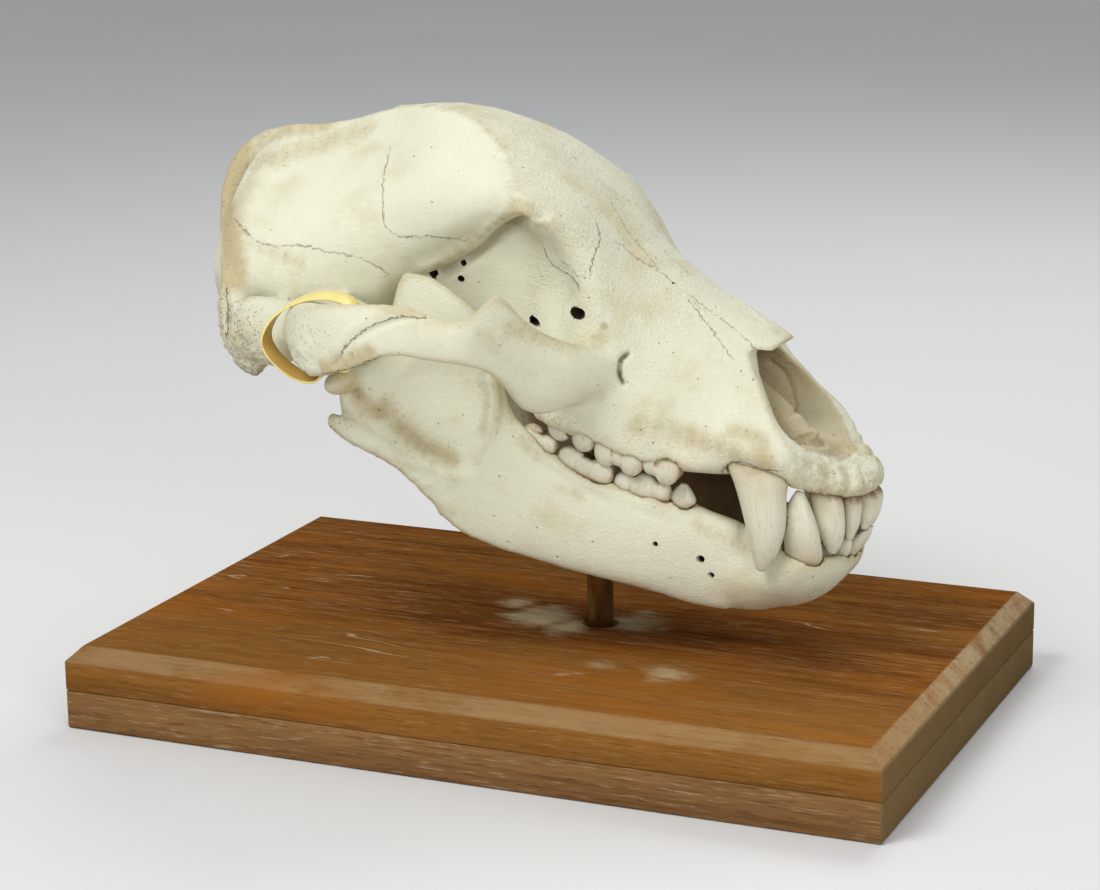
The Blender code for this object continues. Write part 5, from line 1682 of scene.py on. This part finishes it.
for tooth in pointed_teeth:
    others = [other for other in pointed_teeth if other is not tooth]
    touching = rise(near_teeth(points_of(tooth), others), NEARLY_TOUCHING, TOUCHING)
    note(tooth, "grime", touching * TOUCHING_GRIME_AND_SHADE)
for tooth in upper_teeth + lower_teeth:
    set_in_place(tooth)
    bpy.ops.object.shade_smooth()
    dress(tooth, enamel)
    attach(tooth, "root")
    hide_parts(tooth.name.replace(".", "_"))

# The band is a flat strip of yellow plastic, closed into a loop through the right temple opening and
# round the root of the cheek bone. It hangs there loose.
# Its loop's points in order, then its width, thickness and the way its width runs
BAND_LOOP = (
    (-115.5, 87, 25),
    (-110.5, 87, 37.5),
    (-98, 86, 47.5),
    (-84, 84, 51.2),
    (-74, 83, 47.5),
    (-69, 83, 32),
    (-71.5, 84, 20.5),
    (-81, 84, 18.6),
    (-87.5, 85, 11),
    (-98, 86, 10.5),
    (-110, 87, 16.5),
)
BAND_WIDTH = 9.0
BAND_THICKNESS = 1.2
BAND_LEAN = (0.0, 0.97, 0.24)
BAND_YELLOW = (0.93, 0.79, 0.28, 1.0)
BAND_BROWN = (0.42, 0.22, 0.035, 1.0)
BAND_EASED = 0.0003
BAND_RELIEF = 0.00005

loop = smooth_loop([(x, -y, z) for x, y, z in BAND_LOOP], 10)
bpy.ops.object.select_all(action="DESELECT")
bpy.ops.mesh.primitive_torus_add(major_segments=len(loop), minor_segments=4)
band = bpy.context.object
band.name = "band"
middle = loop.mean(0)
corners = []
for k, point in enumerate(loop):
    along = loop[(k + 1) % len(loop)] - loop[k - 1]
    along /= np.linalg.norm(along)
    wide = np.array(BAND_LEAN)
    wide -= along * (wide @ along)
    wide /= np.linalg.norm(wide)
    out = np.cross(along, wide)
    if out @ (point - middle) < 0:
        out = -out
    out, wide = out * BAND_THICKNESS / 2, wide * BAND_WIDTH / 2
    corners.extend((point + out + wide, point + out - wide, point - out - wide, point - out + wide))
move_points(band, corners)
face_outwards(band)
set_in_place(band)
ease_edges(band, BAND_EASED, 2)
band_middle = SKULL_FRAME @ Vector(middle)
# The band's inner faces are painted brown as shade
inner_face = band.data.attributes.new("inner_face", "FLOAT", "FACE")
for face, kept in zip(band.data.polygons, inner_face.data):
    inwards = (band_middle - face.center).normalized()
    kept.value = float(face.normal.dot(inwards) > 0.3)
plastic, tree, shader = material("band_plastic", Specular_IOR_Level=0.5)
place = object_place(tree, MILLIMETRES)
grime = step_up(tree, speckle(tree, place, 0.4, 4.0, 0.65), 0.50, 0.80)
colour = laid_over(tree, BAND_YELLOW, BAND_BROWN, grime, 0.5)
# Painted shade on the inner faces
colour = laid_over(tree, colour, BAND_BROWN, own_number(tree, "inner_face"), 0.85)
tree.links.new(colour, shader.inputs["Base Color"])
tree.links.new(sum_of(tree, "MULTIPLY_ADD", grime, 0.2, 0.32), shader.inputs["Roughness"])
bump(tree, shader, speckle(tree, place, 2.5, 2.0, 0.5), BAND_RELIEF)
dress(band, plastic)
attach(band, "root")
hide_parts("number_band")

# A plain pale floor under soft studio lamps: a large one before and above the skull's right side,
# and weaker ones behind and in front of the nose.
FLOOR_SIZE = 8.0
FLOOR_TOP = -0.0005
FLOOR_DARK = (0.72, 0.715, 0.70, 1.0)
FLOOR_LIGHT = (0.76, 0.755, 0.74, 1.0)
ROOM_COLOUR = (0.80, 0.82, 0.85, 1.0)
ROOM_STRENGTH = 0.49
# The lamps: place, what each points at, size in metres and power in watts
LAMPS = (
    ((-0.50, -1.15, 1.65), (0.0, 0.0, 0.16), 0.9, 21.5),
    ((1.10, -1.20, 0.65), (0.0, 0.0, 0.14), 0.9, 8.0),
    ((0.10, 1.10, 1.50), (0.0, 0.0, 0.18), 0.9, 10.0),
)

bpy.ops.object.select_all(action="DESELECT")
bpy.ops.mesh.primitive_plane_add(size=FLOOR_SIZE, location=(0.0, 0.0, FLOOR_TOP))
floor = bpy.context.object
floor.name = "floor"
bpy.ops.object.transform_apply(location=True, rotation=True, scale=True)
paper, tree, shader = material("floor_paper", Roughness=0.9, Specular_IOR_Level=0.2)
drift = speckle(tree, object_place(tree), 3.0, 3.0, 0.5)
tree.links.new(colour_mix(tree, drift, FLOOR_DARK, FLOOR_LIGHT), shader.inputs["Base Color"])
floor.data.materials.append(paper)
for place, aim, size, power in LAMPS:
    bpy.ops.object.light_add(type="AREA", location=place)
    lamp = bpy.context.object
    lamp.data.shape = "DISK"
    lamp.data.size = size
    lamp.data.energy = power
    lamp.rotation_euler = (Vector(aim) - Vector(place)).to_track_quat("-Z", "Y").to_euler()
room = bpy.data.worlds.new("room")
room.use_nodes = True
backdrop = room.node_tree.nodes["Background"]
backdrop.inputs["Color"].default_value = ROOM_COLOUR
backdrop.inputs["Strength"].default_value = ROOM_STRENGTH
bpy.context.scene.world = room
